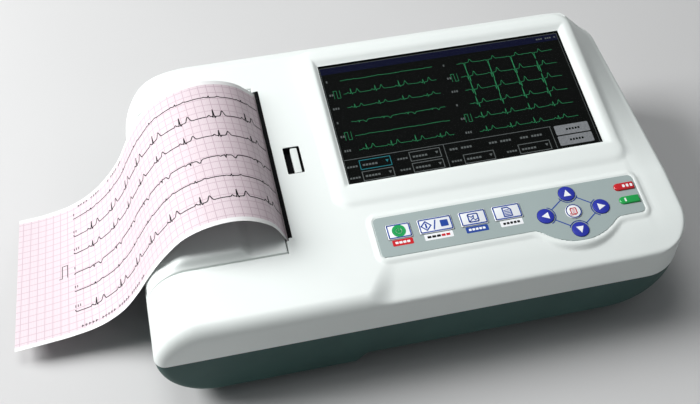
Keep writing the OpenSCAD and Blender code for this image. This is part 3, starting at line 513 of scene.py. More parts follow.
def build_top():
    xs = lines((-140, 142, 6), (-80, -70, 2), (-46, -28, 0.8), (124, 142, 0.8), (-62, -16, 1.2),
               (-30, 142, 1.2), *edge_lines(COVER_X1 + COVER_GAP))
    ys = lines((FRONT_Y, FRONT_Y + 8, 0.5), (FRONT_Y, FRONT_Y + 1.2, 0.15), (-90, 76, 5), (-90, -14, 1.0),
               (68, 90, 0.8), (88, REAR_Y, 1.2), (REAR_Y - 1.5, REAR_Y, 0.2),
               *edge_lines(COVER_Y0 - COVER_GAP), *edge_lines(COVER_Y1 + COVER_GAP))
    ys[-1] = REAR_Y - 0.02
    top = loft("case_top", section_rows(ys, xs, top_surface, 0))
    inner_xs = lines((-140, 142, 4))
    inner_ys = lines((FRONT_Y + WALL, FRONT_Y + 12, 1.5), (-84, 76, 4), (76, REAR_Y - WALL, 1.5))

    def inner_surface(x, y, plain):
        return np.minimum(soft_min(plain, scoop(x, y) - WALL, 2.0), deck(y) - 3.9 + 1.4 * (pad_distance(x, y) > 4))

    inner = loft("cutter", section_rows(inner_ys, inner_xs, inner_surface, WALL))
    cutters = [inner,
               block((LEFT_X - 10, COVER_Y0 - COVER_GAP, 37.6), (COVER_X1 + COVER_GAP, COVER_Y1 + COVER_GAP, 120)),
               block((COVER_X1 - 1, -46.3, -20), (-71.2, 63.4, 20), DECK),
               block((COVER_X1 - 1, -48.1, -20), (-73.4, 63.4, 20), DECK),
               prism(round_rect(-64.8, -2.6, -54.7, 17.1, 0.8), -10, 10, DECK),
               block((SCREEN_X0, SCREEN_V0, -14), (SCREEN_X1, SCREEN_V1, 10), SCREEN),
               block((SCREEN_X0 - 5, SCREEN_V0 - 5, -14), (SCREEN_X1 + 5, SCREEN_V1 + 5, -0.02), SCREEN)]
    for outline in key_outlines(0.25):
        cutters.append(prism(outline, -5.5, 0.6, DECK))
    for v in LED_V:
        cutters.append(prism(led_outline(v, 0.1), -5.5, 0.6, DECK))
    carve(top, cutters)
    finish_surface(top)
    paint(top, "white")
    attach(top, "case")
    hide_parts("top_shell")
    return top


# ---------------------------------------------------------------- keypad
KEY_X = (-10.6, 11.2, 34.0, 54.7)
KEY_W = (14.4, 20.4, 16.2, 17.0)
KEY_V, KEY_H = -55.0, 10.0
NAV_X, NAV_V, NAV_DX, NAV_DV, NAV_R = 93.3, -62.4, 17.2, 12.7, 5.0
NAV = {"up": (NAV_X, NAV_V + NAV_DV), "left": (NAV_X - NAV_DX, NAV_V), "right": (NAV_X + NAV_DX, NAV_V),
       "down": (NAV_X, NAV_V - NAV_DV), "center": (NAV_X, NAV_V)}
LED_X, LED_V = 125.0, (-51.6, -61.2)
KEY_TOP = 1.3


def key_outlines(grow):
    out = [round_rect(x - w / 2 - grow, KEY_V - KEY_H / 2 - grow, x + w / 2 + grow, KEY_V + KEY_H / 2 + grow, 0.6)
           for x, w in zip(KEY_X, KEY_W)]
    return out + [circle(x, v, NAV_R + grow, 48) for x, v in NAV.values()]


def led_outline(v, grow=0.0):
    r = 2.6 + grow
    arc = circle(LED_X, v, r, 17, math.pi / 2, 3 * math.pi / 2)
    return arc + [(PAD[2] - 1 + grow, v - r), (PAD[2] - 1 + grow, v + r)]


def film_outline():
    """The outline of the keypad film, traced where its distance is 0.12 mm inside the edge."""
    out = []
    for k in range(420):
        a = 2 * math.pi * k / 420
        cx, cv = 60.0, -57.5
        dx, dv = math.cos(a), math.sin(a)
        low, high = 0.0, 100.0
        for _ in range(34):
            mid = (low + high) / 2
            inside = pad_distance(np.array(cx + dx * mid), np.array(cv + dv * mid)) < -0.12
            low, high = (mid, high) if inside else (low, mid)
        out.append((cx + dx * low, cv + dv * low))
    return out


def crown(piece, amount=0.25, segments=3):
    """Small round edges on every sharp edge of a piece."""
    bevel = piece.modifiers.new("round", "BEVEL")
    bevel.width = amount * MM
    bevel.segments = segments
    bevel.limit_method = "ANGLE"
    bevel.angle_limit = math.radians(40)
    bevel.use_clamp_overlap = True
    apply_modifiers(piece)
    return finish_surface(piece, 40)


def build_film():
    film = prism(film_outline(), 0.22, 0.8, DECK, "keypad_sheet")
    holes = [prism(o, -1, 2, DECK) for o in key_outlines(0.25)] + [prism(led_outline(v, 0.1), -1, 2, DECK) for v in LED_V]
    carve(film, holes)
    finish_surface(film, 30)
    paint(film, "film")
    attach(film, "case")
    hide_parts("keypad_overlay")


def key_piece(name, outline, stem, material):
    """A key cap with rounded edges on a round stem."""
    cap = prism(outline, 0.05, KEY_TOP, DECK, name + "_cap")
    crown(cap, 0.35)
    post = prism(circle(*stem, 2.2, 24), -4.6, 0.3, DECK)
    carve(cap, [post], "UNION")
    finish_surface(cap, 40)
    paint(cap, material)
    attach(cap, "button_" + name)
    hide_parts("key_" + name)
    return cap


def decal(shapes, n, name, body):
    """Thin printed marks on the deck plane. shapes is a list of (outline, ink)."""
    points, faces, inks, names = [], [], [], []
    for outline, ink in shapes:
        start = len(points)
        count = len(outline)
        if ink not in names:
            names.append(ink)
        points += [DECK @ Vector((p[0], p[1], h)) for h in (n, n + 0.05) for p in outline]
        faces += [tuple(start + i for i in range(count))[::-1], tuple(start + count + i for i in range(count))]
        faces += [(start + i, start + (i + 1) % count, start + count + (i + 1) % count, start + count + i)
                  for i in range(count)]
        inks += [names.index(ink)] * (2 + count)
    piece = mesh_from(name, points, faces)
    for ink in names:
        piece.data.materials.append(MAT[ink])
    piece.data.polygons.foreach_set("material_index", inks)
    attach(piece, body)
    return piece


def stroke(points, width, closed=False):
    """Four-sided outlines that follow a line of points, one for each step."""
    out = []
    pts = [Vector((*p, 0)) for p in points]
    if closed:
        pts.append(pts[0])
    for a, b in zip(pts, pts[1:]):
        d = (b - a).normalized() if (b - a).length > 1e-9 else Vector((1, 0, 0))
        side = Vector((-d.y, d.x, 0)) * width / 2
        a2, b2 = a - d * width * 0.35, b + d * width * 0.35
        out.append([tuple(p)[:2] for p in (a2 - side, b2 - side, b2 + side, a2 + side)])
    return out


def shift(outline, x, v):
    return [(p[0] + x, p[1] + v) for p in outline]


def arrow_head(angle):
    base = [(2.6, 0), (-1.9, 2.3), (-1.9, -2.3)]
    c, s = math.cos(angle), math.sin(angle)
    return [(c * x - s * y, s * x + c * y) for x, y in base]


def build_keys():
    for name, outline, x, w in zip(("power", "start_stop", "mode", "print"), key_outlines(0), KEY_X, KEY_W):
        key_piece(name, outline, (x, KEY_V), "key_white")
        border = stroke(round_rect(x - w / 2 + 0.75, KEY_V - KEY_H / 2 + 0.75, x + w / 2 - 0.75,
                                   KEY_V + KEY_H / 2 - 0.75, 0.5, 4), 0.75, True)
        shapes = [(o, "blue_ink") for o in border]
        if name == "power":
            shapes.append((circle(x, KEY_V, 4.1, 40), "green_ink"))
            ring = circle(x, KEY_V - 0.1, 1.7, 20, math.radians(125), math.radians(415))
            shapes += [(o, "white_ink") for o in stroke(ring, 0.35)]
            shapes += [(o, "white_ink") for o in stroke([(x, KEY_V), (x, KEY_V + 2.1)], 0.35)]
        if name == "start_stop":
            diamond = [(x - 5.6 + dx, KEY_V + dv) for dx, dv in ((-2.9, 0), (0, 3.0), (2.9, 0), (0, -3.0))]
            shapes += [(o, "blue_ink") for o in stroke(diamond, 0.75, True)]
            shapes += [(o, "blue_ink") for o in stroke([(x - 5.6, KEY_V - 1.3), (x - 5.6, KEY_V + 1.3)], 1.0)]
            shapes += [(o, "blue_ink") for o in stroke([(x - 1.4, KEY_V - 3.0), (x + 0.4, KEY_V + 3.0)], 0.8)]
            shapes.append((round_rect(x + 3.0, KEY_V - 2.1, x + 7.6, KEY_V + 2.3, 0.3, 3), "blue_ink"))
        if name == "mode":
            frame_line = round_rect(x - 2.9, KEY_V - 2.7, x + 2.9, KEY_V + 2.7, 0.7, 4)
            shapes += [(o, "blue_ink") for o in stroke(frame_line, 0.8, True)]
            wave = [(-2.5, 1.6), (-0.9, 0.5), (0.4, 1.5), (0.1, -0.6), (1.0, -1.7), (2.4, -0.9)]
            shapes += [(o, "blue_ink") for o in stroke([(x + a, KEY_V + b) for a, b in wave], 0.6)]
            shapes += [(o, "blue_ink") for o in stroke([(x - 2.2, KEY_V - 2.0), (x - 0.4, KEY_V - 0.4)], 0.6)]
        if name == "print":
            page = [(x - 2.4, KEY_V - 3.0), (x + 2.4, KEY_V - 3.0), (x + 2.4, KEY_V + 1.3),
                    (x + 0.8, KEY_V + 3.0), (x - 2.4, KEY_V + 3.0)]
            shapes += [(o, "blue_ink") for o in stroke(page, 0.8, True)]
            for row in range(4):
                v = KEY_V - 1.9 + 1.05 * row
                shapes += [(o, "blue_ink") for o in stroke([(x - 1.6, v), (x + 1.6 - 0.5 * (row > 2), v)], 0.55)]
        decal(shapes, KEY_TOP, name + "_marks", "button_" + name)
    turn = {"up": 90, "left": 180, "right": 0, "down": 270}
    for name, (x, v) in NAV.items():
        outline = circle(x, v, NAV_R, 48)
        if name == "center":
            key_piece(name, outline, (x, v), "key_white")
            shapes = [(o, "blue_ink") for o in stroke(circle(x, v, 4.4, 40), 0.65, True)]
            sheet_icon = round_rect(x - 1.7, v - 2.0, x + 1.7, v + 2.0, 0.5, 3)
            shapes += [(o, "red_ink") for o in stroke(sheet_icon, 0.65, True)]
            for row in (-0.9, 0.0, 0.9):
                shapes += [(o, "red_ink") for o in stroke([(x - 0.8, v + row), (x + 0.8, v + row)], 0.35)]
            shapes += [(o, "red_ink") for o in stroke([(x - 2.5, v - 1.2), (x - 2.5, v - 2.7), (x + 0.9, v - 2.7)], 0.35)]
            decal(shapes, KEY_TOP, "center_marks", "button_center")
        else:
            key_piece(name, outline, (x, v), "key_blue")
            shapes = [(shift(arrow_head(math.radians(turn[name])), x, v), "white_ink")]
            decal(shapes, KEY_TOP, name + "_marks", "button_" + name)


def build_film_marks():
    """Printed marks on the film: link lines, key labels as plain bars, rings around the arrows."""
    shapes = []
    ring_gap = NAV_R + 1.0
    pairs = (("up", "left"), ("left", "down"), ("down", "right"), ("right", "up"))
    for a, b in pairs:
        pa, pb = Vector((*NAV[a], 0)), Vector((*NAV[b], 0))
        d = (pb - pa).normalized()
        line = [tuple(pa + d * ring_gap)[:2], tuple(pb - d * ring_gap)[:2]]
        shapes += [(o, "blue_ink") for o in stroke(line, 0.65)]
    for name in ("up", "left", "right", "down"):
        x, v = NAV[name]
        towards = math.atan2(NAV_V - v, NAV_X - x)
        arc = circle(x, v, ring_gap, 26, towards - 1.15, towards + 1.15)
        shapes += [(o, "blue_ink") for o in stroke(arc, 0.6)]
    labels = ((KEY_X[0] + 0.6, 12.2, "red_ink", "white_ink"), (KEY_X[1] + 0.2, 17.0, "white_ink", "black_ink"),
              (KEY_X[2] + 0.4, 13.4, "blue_ink", "white_ink"), (KEY_X[3] + 0.6, 13.6, "white_ink", "black_ink"))
    for x, w, ink, mark in labels:
        v1 = KEY_V - KEY_H / 2 - 0.45
        shapes.append((round_rect(x - w / 2, v1 - 4.1, x + w / 2, v1, 0.4, 3), ink))
    film_marks = decal(shapes, 0.8, "film_marks", "case")
    words = []
    for index, (x, w, ink, mark) in enumerate(labels):
        v = KEY_V - KEY_H / 2 - 2.5
        cells = 5 if index else 4
        step = (w - 3.0) / cells
        for k in range(cells):
            tone = "red_ink" if index == 1 and k > 2 else mark
            x0 = x - w / 2 + 1.5 + step * k
            words.append((round_rect(x0 + 0.15, v - 0.75, x0 + step - 0.35, v + 0.75, 0.25, 3), tone))
    decal(words, 0.86, "film_label_bars", "case")
    return film_marks


def build_leds():
    for name, v, material in (("red", LED_V[0], "red_lens"), ("green", LED_V[1], "green_lens")):
        lens = prism(led_outline(v), -1, 1.7, DECK, name + "_light")
        crown(lens, 0.7, 4)
        paint(lens, material)
        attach(lens, "case")
        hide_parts("led_window_" + name)
    marks = []
    for k in range(3):
        x0 = LED_X + 2.6 + 2.4 * k
        marks.append((round_rect(x0, LED_V[0] - 1.0, x0 + 1.5, LED_V[0] + 1.0, 0.4, 3), "white_ink"))
    marks.append((round_rect(LED_X + 0.6, LED_V[1] - 1.3, LED_X + 1.6, LED_V[1] + 1.3, 0.4, 3), "white_ink"))
    decal(marks, 1.7, "light_marks", "case")


# ---------------------------------------------------------------- printer cover
def cover_surface(x, y, plain):
    raised = np.maximum(soft_max(plain, deck(y) + cover_bulge(x, y), 2.0) - plain, 0)
    fade = np.clip((x + 146) / 14, 0, 1)
    z = plain + raised * fade * fade * (3 - 2 * fade)
    d = -rect_distance(x, y, (-400, COVER_Y0, COVER_X1, COVER_Y1), 0.01)
    return z - arc_drop(np.maximum(d, 0), 0.8)


def build_cover():
    xs = lines((-140, -90, 0.7), (-90, -70, 1.2), *edge_lines(COVER_X1))
    ys = lines((COVER_Y0, COVER_Y0 + 1.2, 0.2), (COVER_Y0, COVER_Y0 + 8, 0.5), (COVER_Y0, COVER_Y1, 1.6),
               (COVER_Y1 - 8, COVER_Y1, 0.5), (COVER_Y1 - 1.2, COVER_Y1, 0.2))
    outer = loft("paper_cover", section_rows(ys, xs, cover_surface, 0, 28))
    inner_ys = lines((COVER_Y0 - 6, COVER_Y1 + 6, 6))

    def inner_surface(x, y, plain):
        return plain

    inner = loft("cutter", section_rows(inner_ys, lines((-140, 142, 6)), inner_surface, WALL))
    keep = block((LEFT_X - 10, COVER_Y0, SKIRT_Z), (COVER_X1, COVER_Y1, 120))
    carve(outer, [keep], "INTERSECT")
    notches = [block((LEFT_X - 5, y0 - 1, SKIRT_Z - 1), (LEFT_X + 15, y1 + 1, SKIRT_Z + 4.5)) for y0, y1 in ((-34, -20), (30, 44))]
    carve(outer, [inner] + notches)
    lugs = []
    for v0, v1 in ((-50.6, -48.4), (62.9, 64.4)):
        side = [(-86, -1.5), (-86, -11.5), (-84, -16), (-77, -16), (-75.8, -12), (-75.8, -1.5)]
        points = [DECK @ Vector((u, v, n)) for v in (v0, v1) for u, n in side]
        count = len(side)
        faces = [tuple(range(count)), tuple(range(2 * count - 1, count - 1, -1))]
        faces += [(i, count + i, count + (i + 1) % count, (i + 1) % count) for i in range(count)]
        lug = mesh_from("lug", points, faces)
        bm = bmesh.new()
        bm.from_mesh(lug.data)
        bmesh.ops.recalc_face_normals(bm, faces=bm.faces)
        bm.to_mesh(lug.data)
        bm.free()
        lugs.append(lug)
    pin_x, pin_z = -152.8, 43.0
    for y0, y1 in ((-50, -36.5), (46.5, 60)):
        lugs.append(rod((pin_x, y0, pin_z), (pin_x, y1, pin_z), 2.9))
        lugs.append(block((pin_x - 3.4, y0, pin_z), (pin_x, y1, pin_z + 4.5)))
    lugs.append(block((-88.2, -54.4, -7.8), (-86.4, -51.8, -1.5), DECK))
    lugs.append(block((-91, -54.4, -7.8), (-86.4, -51.8, -6.5), DECK))
    carve(outer, lugs, "UNION")
    bores = [rod(tuple(DECK @ Vector((-80.2, v0, -11.5))), tuple(DECK @ Vector((-80.2, v1, -11.5))), 3.4)
             for v0, v1 in ((-52, -47), (61, 66))]
    bores.append(rod((pin_x, -60, pin_z), (pin_x, 70, pin_z), 1.55))
    carve(outer, bores)
    finish_surface(outer)
    paint(outer, "white")
    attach(outer, "cover")
    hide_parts("printer_cover")


def rod(a, b, r, count=40, name="cutter"):
    """A round bar between two points in millimetres."""
    a, b = Vector(a), Vector(b)
    d = (b - a).normalized()
    side = d.orthogonal().normalized()
    other = d.cross(side)
    points = [p + (side * math.cos(2 * math.pi * k / count) + other * math.sin(2 * math.pi * k / count)) * r
              for p in (a, b) for k in range(count)]
    faces = [tuple(range(count))[::-1], tuple(range(count, 2 * count))]
    faces += [(k, (k + 1) % count, count + (k + 1) % count, count + k) for k in range(count)]
    return mesh_from(name, points, faces)


# ---------------------------------------------------------------- base
def base_rings(t, xs):
    ys = lines((FRONT_Y + t, FRONT_Y + 10, 0.8), (FRONT_Y + t, FRONT_Y + t + 1.2, 0.2), (-88, 76, 4),
               (76, REAR_Y - t, 1.0), (REAR_Y - t - 1.5, REAR_Y - t, 0.25))
    ys[-1] = min(ys[-1], REAR_Y - t - 0.02)
    angles = np.linspace(0, math.pi / 2, 19)
    rings = []
    joint = 0.35
    for y in ys:
        edge = max(y, FRONT_Y + 0.001)
        xl, xr = left_at(edge) + t + joint, right_at(edge) - t - joint
        rise = 0.5 * float(arc_drop(edge - FRONT_Y, 22)) + float(arc_drop(REAR_Y - edge, 8)) + t
        a, b = 32.0, 28.0
        zl = -SUMP + rise
        zr = rise
        arc_l = [(xl + a - a * math.cos(k), SPLIT_Z - (SPLIT_Z - zl) * math.sin(k)) for k in angles[:-1]]
        arc_r = [(xr - b + b * math.cos(k), SPLIT_Z - (SPLIT_Z - zr) * math.sin(k)) for k in angles[::-1][1:]]
        x = np.clip(xs, xl + a, xr - b)
        s = np.clip((x + 45.5 - t) / 8.5, 0, 1)
        s = s * s * (3 - 2 * s)
        floor = [(x[k], zl + (zr - zl) * s[k]) for k in range(len(x))]
        ring = [(xl + 0.3, SPLIT_Z - 0.05 + t), (xl, SPLIT_Z - 0.5)] + arc_l[1:] + floor + arc_r[:-1]
        ring += [(xr, SPLIT_Z - 0.5), (xr - 0.3, SPLIT_Z - 0.05 + t)]
        rings.append([(p[0], y, p[1]) for p in ring])
    return np.array(rings)


REAR_PORTS = ((-9, 27, 19, 20), (21.5, 13.4, 19.6, 20.5), (78, 25, 10, 18), (111, 16, 14, 18), (129, 14.4, 7.2, 18))
SCREWS = ((-66, -86), (-66, 86), (20, -86), (44, 86), (142, -84), (143, 84))


def build_base():
    xs = lines((-125, 130, 9), (-50, -32, 0.7))
    base = loft("case_base", base_rings(0, xs))
    inner = loft("cutter", base_rings(WALL, xs))
    cutters = [inner]
    for x, z, w, h in ((p[0], p[3], p[1], p[2]) for p in REAR_PORTS):
        cutters.append(block((x - w / 2, REAR_Y - 6, z - h / 2), (x + w / 2, REAR_Y + 2, z + h / 2)))
    for k in range(8):
        x = -118 + 7 * k
        cutters.append(block((x, REAR_Y - 6, 12), (x + 2.4, REAR_Y + 2, 28)))
    carve(base, cutters)
    posts = [rod((x, y, 3 if x > -60 else -4), (x, y, 33.5), 5) for x, y in SCREWS]
    for node, z in (("tall_feet", 0.6), ("low_feet", -SUMP + 0.6)):
        low, high = span(node)
        x = (low[0] + high[0]) / 2
        for y in (low[1] + 9, high[1] - 9):
            posts.append(rod((x, y, z), (x, y, z + 3.4), 11))
    outer = loft("cutter", base_rings(0, xs))
    for post in posts:
        trim = post.modifiers.new("trim", "BOOLEAN")
        trim.operation, trim.solver, trim.object = "INTERSECT", "MANIFOLD", outer
        apply_modifiers(post)
    bpy.data.objects.remove(outer)
    carve(base, posts, "UNION")
    holes = [rod((x, y, -20), (x, y, 26), 3.3) for x, y in SCREWS] + [rod((x, y, 20), (x, y, 40), 1.7) for x, y in SCREWS]
    for node, z in (("tall_feet", 1.5), ("low_feet", -SUMP + 1.5)):
        low, high = span(node)
        x = (low[0] + high[0]) / 2
        holes += [rod((x, y, -20), (x, y, z), 9) for y in (low[1] + 9, high[1] - 9)]
    low, high = span("rating_plate")
    holes.append(block((low[0] - 0.2, low[1] - 0.2, -1), (high[0] + 0.2, high[1] + 0.2, 0.3)))
    holes.append(block((31.7, -80.3, -1), (108.3, -23.7, 4)))
    holes.append(rod((-42, REAR_Y - 6, 20), (-42, REAR_Y + 3, 20), 3))
    carve(base, holes)
    finish_surface(base)
    paint(base, "dark")
    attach(base, "case")
    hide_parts("base_tray")


# ---------------------------------------------------------------- printed strip
REAR_EDGE = ((-74.3, 75.3), (-87, 87), (-103.5, 92), (-121, 89.5), (-136.5, 81), (-147.5, 67.5), (-156, 52),
             (-163.5, 35.5), (-173, 21), (-185, 8), (-200, -1.5), (-217, -6.5), (-234.5, -8.5))
FRONT_EDGE = ((-74.3, 63), (-82.5, 79), (-97.5, 88), (-115, 88), (-131.5, 81), (-144, 68), (-154, 53.5),
              (-163, 38), (-173.5, 24), (-188, 13.5), (-205, 8), (-222.5, 5), (-240, 2.6))
EDGE_Y = (62.4, -47.0)
STRIP_STEPS, STRIP_ACROSS = 150, 12


def even_curve(points, count):
    """Even points along the smooth curve through the given ones, and its length."""
    pts = np.array(points, float)
    padded = np.vstack([2 * pts[0] - pts[1], pts, 2 * pts[-1] - pts[-2]])
    fine = []
    for i in range(len(pts) - 1):
        p0, p1, p2, p3 = padded[i:i + 4]
        for t in np.linspace(0, 1, 24, endpoint=False):
            fine.append(0.5 * (2 * p1 + (p2 - p0) * t + (2 * p0 - 5 * p1 + 4 * p2 - p3) * t * t
                               + (3 * p1 - p0 - 3 * p2 + p3) * t ** 3))
    fine = np.array(fine + [pts[-1]])
    length = np.concatenate([[0], np.cumsum(np.linalg.norm(np.diff(fine, axis=0), axis=1))])
    at = np.linspace(0, length[-1], count)
    return np.column_stack([np.interp(at, length, fine[:, k]) for k in (0, 1)]), length[-1]


class Strip:
    """The chart strip as a ruled sheet: s runs from the slot to the free end, w from the rear edge to the front one."""

    def __init__(self):
        rear, self.rear_length = even_curve(REAR_EDGE, STRIP_STEPS + 1)
        front, self.front_length = even_curve(FRONT_EDGE, STRIP_STEPS + 1)
        self.rear = np.column_stack([rear[:, 0], np.full(len(rear), EDGE_Y[0]), rear[:, 1]])
        self.front = np.column_stack([front[:, 0], np.full(len(front), EDGE_Y[1]), front[:, 1]])
        self.length = (self.rear_length + self.front_length) / 2

    def at(self, s, w, lift=0.0):
        """Point at s mm along and w mm across, lifted off the printed side."""
        k = np.clip(s / self.length, 0, 1) * STRIP_STEPS
        i = min(int(k), STRIP_STEPS - 1)
        f = k - i
        rear = self.rear[i] * (1 - f) + self.rear[i + 1] * f
        front = self.front[i] * (1 - f) + self.front[i + 1] * f
        d_rear = self.rear[i + 1] - self.rear[i]
        d_front = self.front[i + 1] - self.front[i]
        across = front - rear
        t = w / 110.0
        along = d_rear * (1 - t) + d_front * t
        normal = np.cross(along, across)
        return rear + across * t + normal / np.linalg.norm(normal) * lift


def paper_material():
    """Chart paper: 1 mm and 5 mm ruling in pink, with white margins, drawn from the sheet's own measures."""
    material, tree, shader = principled("chart_paper", (0.85, 0.8, 0.82), 0.62)
    nodes, links = tree.nodes, tree.links
    uv = nodes.new("ShaderNodeUVMap")
    uv.uv_map = "sheet_mm"
    split = nodes.new("ShaderNodeSeparateXYZ")
    links.new(uv.outputs["UV"], split.inputs[0])

    def math_node(kind, a, b=None, clamp=False):
        node = nodes.new("ShaderNodeMath")
        node.operation = kind
        node.use_clamp = clamp
        for index, value in enumerate((a, b)):
            if value is None:
                continue
            if isinstance(value, (int, float)):
                node.inputs[index].default_value = value
            else:
                links.new(value, node.inputs[index])
        return node.outputs[0]

    def line_mask(coordinate, pitch, width):
        phase = math_node("FRACT", math_node("DIVIDE", coordinate, pitch))
        away = math_node("ABSOLUTE", math_node("SUBTRACT", phase, 0.5))
        away = math_node("SUBTRACT", 0.5, away)
        away = math_node("MULTIPLY", away, pitch)
        return math_node("SUBTRACT", 1.0, math_node("DIVIDE", away, width, True), True)

    along, across = split.outputs[0], split.outputs[1]
    fine = math_node("MAXIMUM", line_mask(along, 1.0, 0.2), line_mask(across, 1.0, 0.2))
    bold = math_node("MAXIMUM", line_mask(along, 5.0, 0.42), line_mask(across, 5.0, 0.42))
    inside = math_node("MULTIPLY", math_node("GREATER_THAN", across, 3.0), math_node("LESS_THAN", across, 107.0))
    white, pink_tint, pink_fine, pink_bold = (0.77, 0.77, 0.77), (0.68, 0.59, 0.625), (0.56, 0.42, 0.475), (0.40, 0.27, 0.335)

    def mix(factor, a, b):
        node = nodes.new("ShaderNodeMix")
        node.data_type = "RGBA"
        links.new(factor, node.inputs["Factor"])
        for socket, value in (("A", a), ("B", b)):
            target = [i for i in node.inputs if i.name == socket and i.type == "RGBA"][0]
            if isinstance(value, tuple):
                target.default_value = (*value, 1)
            else:
                links.new(value, target)
        return [o for o in node.outputs if o.type == "RGBA"][0]

    ruled = mix(math_node("MULTIPLY", bold, 0.75), mix(math_node("MULTIPLY", fine, 0.6), pink_tint, pink_fine), pink_bold)
    links.new(mix(inside, white, ruled), shader.inputs["Base Color"])
    bump(tree, shader, noise(tree, 1500, 3), 0.12, 0.00005)
    shader.inputs["Subsurface Weight"].default_value = 0.0
    return material


MAT["chart"] = paper_material()


def build_strip():
    strip = Strip()
    points, uvs = [], []
    widths = np.linspace(0, 110, STRIP_ACROSS + 1)
    for i in range(STRIP_STEPS + 1):
        for w in widths:
            s = strip.length * i / STRIP_STEPS
            points.append(strip.at(s, w))
            uvs.append((s, w))
    row = STRIP_ACROSS + 1
    faces = [(i * row + j, i * row + j + 1, (i + 1) * row + j + 1, (i + 1) * row + j)
             for i in range(STRIP_STEPS) for j in range(STRIP_ACROSS)]
    sheet = mesh_from("chart_strip", points, faces)
    layer = sheet.data.uv_layers.new(name="sheet_mm")
    for loop in sheet.data.loops:
        layer.data[loop.index].uv = uvs[loop.vertex_index]
    solid = sheet.modifiers.new("thickness", "SOLIDIFY")
    solid.thickness = 0.12 * MM
    solid.offset = 0
    apply_modifiers(sheet)
    sheet.data.shade_smooth()
    sheet.data.set_sharp_from_angle(angle=math.radians(60))
    paint(sheet, "chart")
    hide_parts("printed_strip")
    ink = build_ink(strip)
    for piece in (sheet, ink):
        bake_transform(piece)
    return sheet


def beat(t, p, q, r, s, tw):
    """One heart beat at phase t from 0 to 1: P wave, QRS and T wave with their heights in millimetres."""
    def wave(at, width, height):
        return height * math.exp(-((t - at) / width) ** 2)
    return (wave(0.18, 0.030, p) + wave(0.285, 0.010, q) + wave(0.315, 0.011, r)
            + wave(0.345, 0.012, s) + wave(0.58, 0.055, tw))


LEADS = ((0.3, -0.1, 1.0, -0.3, 0.5), (0.9, -0.6, 4.8, -1.3, 3.2), (0.8, -0.5, 3.4, -1.1, 2.4),
         (-0.5, 0.3, -1.6, 0.4, -1.8), (0.2, -0.2, 0.9, -0.5, 0.5), (0.9, -0.4, 4.3, -0.9, 2.8))


CHEST_LEADS = ((0.4, 0.0, -9.5, 0.0, 2.4), (0.4, -4.5, 8.0, -5.5, 3.4), (0.4, -3.5, 8.5, -6.0, 3.6),
               (0.4, -1.5, 7.0, -4.0, 2.8))


def trace_points(lead, start, end, base, period, step=0.35, scale=1.0):
    """(along, across) points of one trace; the wave's height goes to the rear edge."""
    out = []
    s = start
    while s < end:
        t = (s / period) % 1
        wander = 0.35 * math.sin(s / 17 + base) + 0.12 * math.sin(s / 2.9 + 2 * base)
        out.append((s, base - scale * beat(1 - t, *lead) + wander))
        s += step
    return out


def build_ink(strip):
    """The printed traces, marks and calibration pulse as a thin layer of ink."""
    points, faces = [], []

    def ribbon(path, width):
        quads = []
        for a, b in zip(path, path[1:]):
            d = np.subtract(b, a)
            size = np.hypot(*d)
            if size < 1e-6:
                continue
            d = d / size
            side = np.array([-d[1], d[0]]) * width / 2
            tip = d * width * 0.3
            corners = (a - side - tip, b - side + tip, b + side + tip, a + side - tip)
            quads.append(corners)
        for corners in quads:
            start = len(points)
            for lift in (0.075, 0.13):
                for c in corners:
                    points.append(strip.at(c[0], c[1], lift))
            faces.extend([(start + 3, start + 2, start + 1, start), (start + 4, start + 5, start + 6, start + 7)])
            faces.extend([(start + i, start + (i + 1) % 4, start + 4 + (i + 1) % 4, start + 4 + i) for i in range(4)])

    last = strip.length - 37
    for index, lead in enumerate(LEADS):
        base = 14 + 15.6 * index
        ribbon(np.array(trace_points(lead, 1.0, last, base, 21.0, scale=1.3)), 0.6)
        mark = last + 1.5
        for k in range(1 + index % 3):
            ribbon(np.array([(mark - 2 - 1.6 * k, base - 4.8), (mark - 2 - 1.6 * k, base - 3.2)]), 0.5)
    pulse = last + 8
    ribbon(np.array([(pulse + 2, 62.0), (pulse, 62.0), (pulse, 52.0), (pulse - 3.5, 52.0), (pulse - 3.5, 62.0)]), 0.42)
    for k in range(26):
        s = last - 4 - 2.3 * k
        for across, shown in ((104.6, k % 6 != 5), (3.9, k % 13 < 9 and k % 5 != 4)):
            if shown:
                ribbon(np.array([(s, across), (s - 1.4, across)]), 0.45)
                ribbon(np.array([(s - 0.5, across - 0.8), (s - 0.5, across + 1.0)]), 0.35)
    ink = mesh_from("chart_ink", points, faces)
    paint(ink, "black_ink")
    return ink


